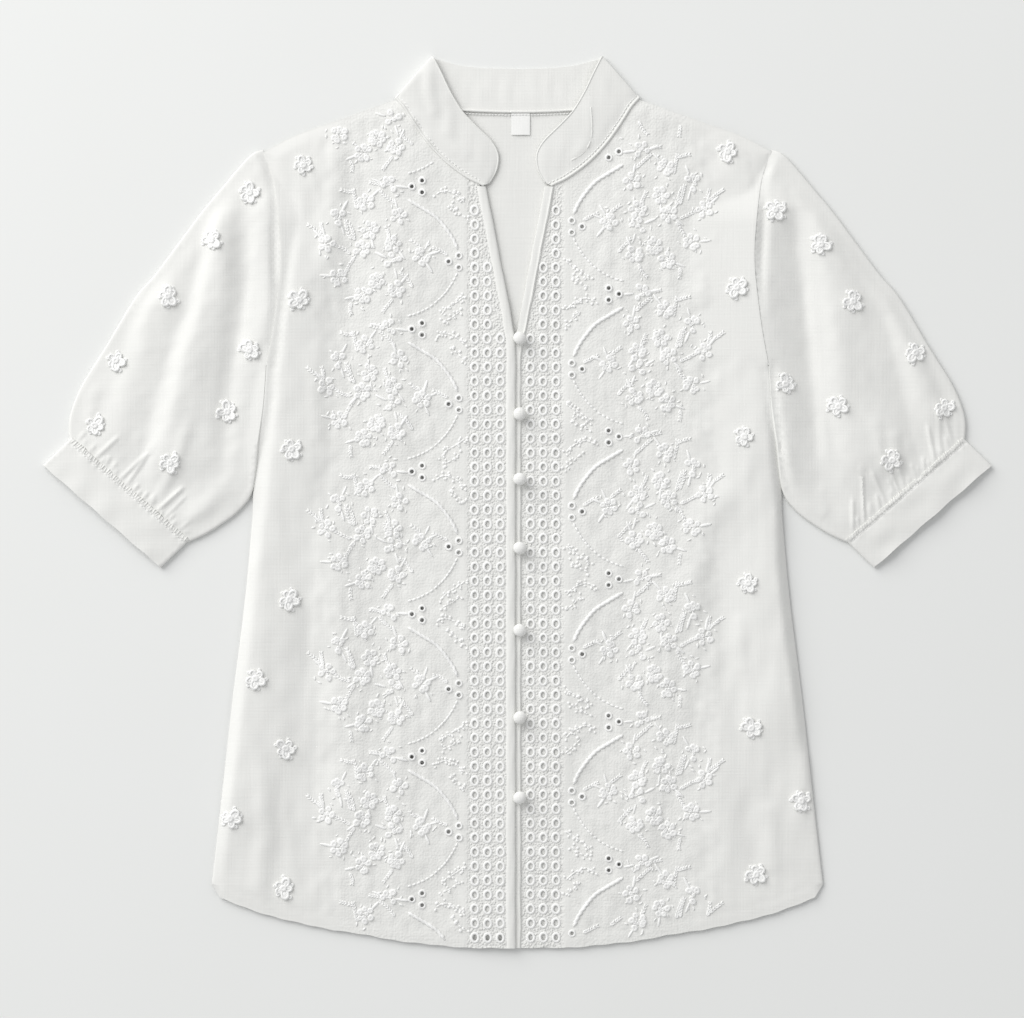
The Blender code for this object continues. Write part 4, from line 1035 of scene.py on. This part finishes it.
shapes = {
    "eyeletRing": ovalRing(eyelets["halfWidth"] + eyelets["ringOut"],
                           eyelets["halfHeight"] + eyelets["ringOut"],
                           eyelets["ring"], eyelets["ringRise"]),
    "trioRing": ovalRing(motif["trioHole"] + 0.8, motif["trioHole"] + 0.8, 0.95, 0.85, 14),
    "knot": roundKnot(2.8, 1.12),
    "smallKnot": roundKnot(1.6, 0.88, 8),
    "bud": padded(2.6, 1.2, 1.0, 5, 6),
    "leaf": padded(9.5, 1.15, 0.74, 9),
    "seed": padded(3.2, 0.8, 0.6, 5, 5),
    "runningStitch": padded(3.3, 1.0, 0.7, 5, 6),
}

# One flower: out and up from the repeat's start, the turns of its knots, the turns of its leaves.
flowers = [
    (32, 4, (50, -10, -85, -140, 172, 97), (158, 113, -122)),
    (54.6, 14, (45, -40, 170, 100), (240,)),
    (55, 0.5, (70, -40, 170), (250, 20)),
    (79.6, 10, (-105, 150, 40, 92), (-40,)),
    (108, 14, (-30, -110, 105, 182), (74, 48)),
    (68, -15.6, (-110, 40, -20, 140), ()),
    (98, -12.5, (100, 35, -35, -78, -155), (5,)),
    (52, -22, (30, -55, -107, -165), (120,)),
    (78.6, -26.8, (155, 35, -77, -125), (-15,)),
    (58, -53, (-135, 0, 60), (190, 15)),
    (77, -66.6, (90, 22, -77, -160), (130,)),
    (98.5, -78.8, (40, -85, 76), (112, 252)),
    (50, -78, (35, -27, -107, 170), (75,)),
    (73.5, -89, (180, 80, 0, -60), (-95,)),
]
twigs = [
    ((39.8, -19.7), (50, -8.5)), ((56, -31), (63.3, -41)), ((63.3, -52.3), (74.5, -50.3)),
    ((54, -66.6), (66.4, -55.4)), ((86.3, 2.8), (92.9, -8.5)), ((89.8, 6.8), (102, 13)),
    ((86, 18), (90.8, 32)), ((88.8, -34), (87.8, -43)), ((83.7, -70.7), (86.8, -55.4)),
    ((87.8, -58.4), (98, -56)), ((88.8, -95), (92.5, -80)), ((12.3, 5.8), (24, 11.5)),
    ((34, 12), (42, 18)), ((111, 20), (112.5, 31)), ((113, 22), (124, 30)), ((58, 20), (62, 29)),
]
budTwigs = [
    ((-2, -28), (5, -33), (12, -37), (16, -42)), ((2, -40), (8, -45), (15, -48)),
    ((-2, -66), (5, -60), (14, -57), (20, -60)), ((-3, -79), (3, -74), (9, -68)),
]


def fadedEnds(n, size):
    t = np.linspace(0, 1, n)
    return size * (0.35 + 0.65 * smoothStep(np.minimum(t, 1 - t) * n / 5.0))


def offBy(x, y, away, turn, side=1):
    # The point at a distance and turn from another, mirrored for side -1.
    return x + side * away * math.cos(turn), y + away * math.sin(turn)


def between(a, b):
    # The middle of a short stretch and the way it runs.
    return (a[0] + b[0]) / 2, (a[1] + b[1]) / 2, math.atan2(b[1] - a[1], b[0] - a[0])


def fullRound(angles):
    # Fills the wide gaps between the knots of a flower that has at least four of them.
    angles = sorted(angle % 360 for angle in angles)
    filled = []
    for angle, following in zip(angles, angles[1:] + [angles[0] + 360]):
        filled.append(angle)
        gap = following - angle
        if len(angles) > 3 and gap > 84:
            filled.append(angle + gap / 2)
        elif gap > 150:
            filled.append(angle + 56)
    return filled


# Distances from a flower's middle, and how far each part keeps from the front's edge.
bloom = {"knot": (4.4, 5.4), "spoke": 2.3, "middle": (0.8, 2.6), "stray": (7.5, 11.5), "leaf": 10.5,
         "bud": 2.6, "clear": {"rope": 4.5, "stitch": 6, "flower": 10, "leaf": 7}}
clear = bloom["clear"]
stitchPieces = {-1: [], 1: []}
for side in (-1, 1):
    loop = frontLoops[side]
    closedLoop = loop + loop[:1]
    ground = frontHeight[side]

    def roomFor(x, y, reach):
        return bool(insideOf(x, y, loop)) and float(awayFrom(x, y, closedLoop)) > reach

    rings = Stitchery(ground)
    for x, y in eyeletPlaces(side):
        rings.add(shapes["eyeletRing"], x + dice.uniform(-0.15, 0.15), y + dice.uniform(-0.15, 0.15),
                  0.0, dice.uniform(0.96, 1.04))
    for x, y in trioPlaces(side, loop):
        rings.add(shapes["trioRing"], x, y, dice.uniform(0, 6), dice.uniform(0.95, 1.05))
    stitchPieces[side].append(rings.piece(f"eyeletStitching{sides[side]}", thread))

    ropes = Stitchery(ground)
    blooms = Stitchery(ground)
    for start in placesOf(side):
        path = smoothLine([atMotif(side, start, *place) for place in motif["rope"]], 0.7)
        path = [p for p in path if roomFor(*p, clear["rope"])]
        if len(path) > 12:
            wide, high = fadedEnds(len(path), 1.45), fadedEnds(len(path), 0.95)
            ropes.add(sweep([(x, y, 0.2) for x, y in path], wide, high, 7, strands=2, lay=4.4, depth=0.26))
        path = smoothLine([atMotif(side, start, *place) for place in motif["stitched"]], 3.7)
        for a, b in zip(path, path[1:]):
            if roomFor(*a, clear["stitch"]) and roomFor(*b, clear["stitch"]):
                x, y, turn = between(a, b)
                ropes.add(shapes["runningStitch"], x, y, turn + dice.uniform(-0.1, 0.1))
        for first, last in twigs:
            a, b = atMotif(side, start, *first), atMotif(side, start, *last)
            if roomFor(*a, clear["stitch"]) and roomFor(*b, clear["stitch"]):
                bow = dice.uniform(-1.2, 1.2)
                middle = ((a[0] + b[0]) / 2 + bow, (a[1] + b[1]) / 2 + bow)
                # A twig is two slanting rows of short satin stitches.
                path = smoothLine([a, middle, b], 2.1)
                for (px, py), after in zip(path, path[1:]):
                    turn = between((px, py), after)[2]
                    for slant in (-1, 1):
                        ropes.add(shapes["seed"], px - 0.6 * slant * math.sin(turn),
                                  py + 0.6 * slant * math.cos(turn),
                                  turn + slant * dice.uniform(0.35, 0.65), dice.uniform(0.9, 1.15))
        for table in budTwigs:
            places = [atMotif(side, start, *place) for place in table]
            if all(roomFor(*place, clear["stitch"]) for place in places):
                path = smoothLine(places, 3.4)
                for a, b in zip(path, path[1:]):
                    ropes.add(shapes["seed"], *between(a, b), 1.1)
                for x, y in path:
                    for _ in range(2):
                        turn = dice.uniform(0, 2 * math.pi)
                        blooms.add(shapes["bud"], *offBy(x, y, bloom["bud"], turn), turn,
                                   dice.uniform(0.8, 1.05))
        for out, up, knots, leaves in flowers:
            x, y = atMotif(side, start, out, up)
            if not roomFor(x, y, clear["flower"]):
                continue
            for angle in fullRound(knots):
                turn = math.radians(angle + dice.uniform(-9, 9))
                away = dice.uniform(*bloom["knot"])
                blooms.add(shapes["knot"], *offBy(x, y, away, turn, side), turn, dice.uniform(0.86, 1.1))
                blooms.add(shapes["seed"], *offBy(x, y, bloom["spoke"], turn, side),
                           math.atan2(math.sin(turn), side * math.cos(turn)), 1.15)
            for _ in range(2):
                turn = dice.uniform(0, 2 * math.pi)
                away = dice.uniform(*bloom["middle"])
                blooms.add(shapes["smallKnot"], *offBy(x, y, away, turn), turn, dice.uniform(0.9, 1.25))
            for _ in range(5):
                turn = dice.uniform(0, 2 * math.pi)
                away = dice.uniform(*bloom["stray"])
                blooms.add(shapes["seed"], *offBy(x, y, away, turn), dice.uniform(0, 3),
                           dice.uniform(0.8, 1.2))
            for angle in leaves:
                turn = math.radians(angle + dice.uniform(-8, 8))
                place = offBy(x, y, bloom["leaf"], turn, side)
                if roomFor(*place, clear["leaf"]):
                    blooms.add(shapes["leaf"], *place, math.atan2(math.sin(turn), side * math.cos(turn)),
                               dice.uniform(0.85, 1.15))
    stitchPieces[side].append(ropes.piece(f"ropeStitching{sides[side]}", thread))
    stitchPieces[side].append(blooms.piece(f"knotFlowers{sides[side]}", thread))
print("embroidery ready")


# Seams: rolled edges of the collar, and the gathered and stitched seams of the cuffs.

seams = {"roll": 1.05, "rollRise": 0.8, "edgeRoll": 0.7, "stitchFrom": 3.4, "stitchPitch": 3.2,
         "tooth": padded(4.4, 0.8, 0.75, 6, 6), "stitch": padded(2.3, 0.42, 0.3, 4, 5)}


def flatGround(x, y):
    return 0.0 * x


def stitchAlong(work, path, pitch):
    # Short stitches laid end to end along a path of (x, y, z).
    line = np.array(path)
    run = np.concatenate([[0], np.cumsum(np.linalg.norm(np.diff(line[:, :2], axis=0), axis=1))])
    for at in np.arange(pitch / 2, run[-1], pitch):
        x, y, z = (np.interp(at, run, line[:, k]) for k in range(3))
        farX, farY = (np.interp(at + 0.5, run, line[:, k]) for k in range(2))
        work.add(seams["stitch"], x, y, math.atan2(farY - y, farX - x), lift=z)


grid = np.array(collarCorners).reshape(rows, across + 1, 3)
onWing = grid[:, across // 2, 2] > 2.6
roll, row = Stitchery(flatGround), Stitchery(flatGround)
for side in (-1, 1):
    wing = grid[onWing & (side * grid[:, 0, 0] > 0)]
    fallen = wing[:, -1] - wing[:, 0]
    length = np.linalg.norm(fallen, axis=1)[:, None]
    above = np.array([0, 0, collar["thickness"] / 2 + 0.1])
    roll.add(sweep(wing[:, 0] + fallen / length * 0.9 + above, seams["roll"], seams["rollRise"], 8))
    roll.add(sweep(wing[:, -1] - fallen / length * 0.5 + above - (0, 0, 0.2), seams["edgeRoll"], 0.6, 8))
    stitchAlong(row, wing[:, 0] + fallen / length * seams["stitchFrom"] + above, seams["stitchPitch"])
# A pressed pleat in the left wing.
pleat = smoothLine([(57.3, 331), (59.7, 300), (57.4, 287), (51.5, 279), (43, 274)], 2.0)
cloth = grid.reshape(-1, 3)
nearest = [cloth[np.argmin(np.hypot(*(cloth[:, :2] - place).T))] for place in pleat]
roll.add(sweep([(x, y, z + 0.25) for (x, y), (_, _, z) in zip(pleat, nearest)],
               0.9 * np.sqrt(np.linspace(0.3, 1, len(pleat))), 0.55, 8))
inner = grid[(grid[:, 0, 2] < 2.1) & (grid[:, 0, 1] < 318)]
roll.add(sweep(inner[:, 0] + (0, 0.9, 0.7), 1.0, 0.8, 8))
stitchAlong(row, inner[:, 0] + (0, -1.6, 0.35), 2.6)
collarTrim = [roll.piece("collarSeamRoll", cotton), row.piece("collarTopstitch", thread)]

for side in (-1, 1):
    outer, inner, seam, way, down = sleeveFrame(side)
    teeth, row = Stitchery(lambda x, y: cuffTop(x, y, side)), Stitchery(lambda x, y: cuffTop(x, y, side))
    lean = math.atan2(down[1], down[0])
    length = math.dist(seam[0], seam[-1])
    at = 2.0
    while at < length - 1.5:
        x, y = np.array(seam[0]) + way * at + down * dice.uniform(-0.5, 0.5)
        teeth.add(seams["tooth"], x, y, lean + dice.uniform(-0.35, 0.35), dice.uniform(0.7, 1.1), -0.25)
        at += dice.uniform(1.7, 2.9)
    first = np.array(seam[0]) + down * cuff["topstitchOut"] + way * 2
    last = np.array(seam[-1]) + down * cuff["topstitchOut"] - way * 4
    stitchAlong(row, [(*(first + (last - first) * k / 60), 0.0) for k in range(61)], seams["stitchPitch"])
    teeth.piece(f"cuffGathering{sides[side]}", cotton)
    row.piece(f"cuffTopstitch{sides[side]}", thread)
print("seams ready")


# Looped flowers that stand by themselves.

looped = {
    "radius": 8.8, "rise": 1.9, "filling": 4.8, "knot": 8.2,
    "front": {-1: [(-171, 270), (-174, 162), (-180, 43), (-182, -77), (-185, -196), (-187, -308),
                   (-229, -252), (-209, -140)],
              1: [(168, 281), (175, 172), (181, 53), (184, -64), (187, -180), (191, -297),
                  (227, -238)]},
    "sleeve": {-1: [(-214, 248), (-244, 210), (-279, 165), (-321, 114), (-214, 122), (-232, 73),
                    (-277, 32), (-338, 62)],
               1: [(206, 234), (242, 206), (268, 161), (318, 120), (214, 95), (256, 77), (299, 34),
                   (341, 76)]},
}


def petalLoop(length, wide, rise):
    # One petal: a cord that leaves the middle, goes round and comes back.
    turns = np.linspace(-0.86 * np.pi, 0.86 * np.pi, 13)
    xs = length * (0.52 + 0.48 * np.cos(turns))
    ys = wide * np.sin(turns) * (0.6 + 0.4 * np.cos(turns / 2))
    zs = rise * (0.45 + 0.35 * np.cos(turns))
    return sweep(np.column_stack([xs, ys, zs]), 1.2, 1.1, 6, strands=2, lay=3.0, depth=0.2)


def addLoopedFlower(work, x, y):
    first = dice.uniform(0, 2 * math.pi)
    petal = petalLoop(looped["radius"] - 1.0, 2.7, looped["rise"])
    filling = padded(6.6, 2.1, 1.25, 6, 7)
    for k in range(5):
        turn = first + 2 * math.pi * (k + dice.uniform(-0.2, 0.2)) / 5
        size = dice.uniform(0.8, 1.1)
        work.add(petal, x, y, turn, size)
        work.add(filling, *offBy(x, y, looped["filling"] * size, turn), turn, size, lift=0.4)
        work.add(shapes["smallKnot"], *offBy(x, y, looped["knot"] * size, turn + 0.4), turn,
                 dice.uniform(0.9, 1.3), lift=0.2)
    work.add(shapes["knot"], x, y, first, 1.05, lift=1.2)


for side in (-1, 1):
    work = Stitchery(frontHeight[side])
    for x, y in looped["front"][side]:
        addLoopedFlower(work, x, y)
    stitchPieces[side].append(work.piece(f"loopedFlowers{sides[side]}", thread))
    work = Stitchery(sleeveHeight[side])
    for x, y in looped["sleeve"][side]:
        addLoopedFlower(work, x, y)
    looped[side] = work.piece(f"sleeveFlowers{sides[side]}", thread)
print("looped flowers ready")


# Fastening.

fastening = {"first": 131.7, "drops": (0.0, 60.5, 112.5, 167.7, 233.3, 302.9, 366.9), "x": 1.9,
             "seat": 3.6, "loopHeight": 4.5,
             "profile": [(0.02, 0.0), (1.3, 0.0), (1.35, 1.2), (2.7, 1.6), (4.1, 2.5), (4.95, 3.8),
                         (5.15, 5.2), (4.8, 6.6), (3.85, 7.8), (2.5, 8.6), (1.1, 8.95), (0.02, 9.0)],
             "loop": [(-3.1, 3.6), (-1.2, 3.0), (0.9, 2.6), (2.4, 1.5), (2.9, 0.0), (2.4, -1.5),
                      (0.9, -2.6), (-1.2, -3.0), (-3.1, -3.6)]}
for number, drop in enumerate(fastening["drops"], start=1):
    x, y = fastening["x"], fastening["first"] - drop
    count, corners = 20, []
    phase = dice.uniform(0, 6)
    for radius, height in fastening["profile"]:
        for k in range(count):
            turn = 2 * math.pi * k / count
            pucker = 1 + 0.05 * math.cos(9 * turn + phase) * max(0.0, 1 - height / 4.5)
            lean = 0.03 * math.sin(2 * turn + phase)
            corners.append((x + radius * (pucker + lean) * math.cos(turn),
                            y + radius * (pucker + lean) * math.sin(turn),
                            fastening["seat"] + height))
    faces = gridFaces(len(fastening["profile"]), count, closed=True)
    faces.append(list(range(count))[::-1])
    faces.append([(len(fastening["profile"]) - 1) * count + k for k in range(count)])
    button = addPiece(f"ballButton{number}", corners, faces, coveredCloth)
    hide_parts(f"button_{number}")
    cord = Stitchery(lambda x, y: 0.0 * x + fastening["loopHeight"])
    cord.add(sweep([(px, py, 0) for px, py in smoothLine(fastening["loop"], 0.6)], 0.75, 0.75, 8,
                   strands=2, lay=2.2, depth=0.14), x, y)
    loopPiece = cord.piece(f"cordLoop{number}", thread, "loop_cord")
    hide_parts(f"loop_{number}")
print("fastening ready")


# Label.

label = {"size": (15.0, 17.6), "middle": (2.5, 303.4), "base": 1.6, "thickness": 0.35, "steps": 12}
wide, long = label["size"]
x0, y0 = label["middle"]
corners = []
for i in range(label["steps"] + 1):
    for k in range(label["steps"] + 1):
        out, up = k / label["steps"] - 0.5, i / label["steps"] - 0.5
        lift = 0.35 + 0.35 * math.cos(math.pi * out) * (0.6 - up)
        corners.append((x0 + out * wide, y0 + up * long, label["base"] + lift))
faces = gridFaces(label["steps"] + 1, label["steps"] + 1)
labelPiece = addPiece("wovenLabel", corners, faces, tape)
thicken(labelPiece, label["thickness"])
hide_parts("label")
print("label ready")


# The outline of each sleeve as cut, worked out here and not used.


for side in (-1, 1):
    outer, inner, seam, way, down = sleeveFrame(side)
    loop = loopOf(outer, seam, inner[::-1], mirrored(armholeLine, side))


# Floor, light and camera.

stage = {"colour": "#eaebea", "key": 218.0, "keyPlace": (-2.9, 2.9, 2.75), "keySize": 4.0,
         "fill": 0.56, "height": 2.5, "frame": 0.8192, "middle": (-0.0043, -0.0048)}
bpy.ops.mesh.primitive_plane_add(size=8.0, location=(0, 0, 0))
floor = bpy.context.object
floor.name = "paleFloor"
# Matt painted board, evenly pale, so that only soft shadows show on it.
board, tree, shader = newMaterial("paintedBoard", stage["colour"], 0.9)
grain = addNode(tree, "ShaderNodeTexNoise", Scale=40.0, Detail=2.0)
tone = addNode(tree, "ShaderNodeMix", [("Factor", grain.outputs[0])], data_type="RGBA")
tone.inputs["A"].default_value = linearColour("#e9eae8")
tone.inputs["B"].default_value = linearColour("#ebeceb")
tree.links.new(tone.outputs["Result"], shader.inputs["Base Color"])
floor.data.materials.append(board)

world = bpy.data.worlds.new("studio")
bpy.context.scene.world = world
world.use_nodes = True
world.node_tree.nodes["Background"].inputs[0].default_value = (0.985, 0.99, 1.0, 1)
world.node_tree.nodes["Background"].inputs[1].default_value = stage["fill"]
lamp = bpy.data.lights.new("keyLight", "AREA")
lamp.energy, lamp.size = stage["key"], stage["keySize"]
lamp.color = (1.0, 0.995, 0.985)
key = bpy.data.objects.new("keyLight", lamp)
key.location = stage["keyPlace"]
key.rotation_euler = (-key.location).to_track_quat("-Z", "Y").to_euler()
bpy.context.scene.collection.objects.link(key)

lens = bpy.data.cameras.new("camera")
lens.lens = 36.0 * stage["height"] / stage["frame"]
camera = bpy.data.objects.new("camera", lens)
camera.location = (*stage["middle"], stage["height"] + 0.003)
bpy.context.scene.collection.objects.link(camera)
bpy.context.scene.camera = camera
bpy.context.scene.view_settings.view_transform = "Standard"
print("stage ready")
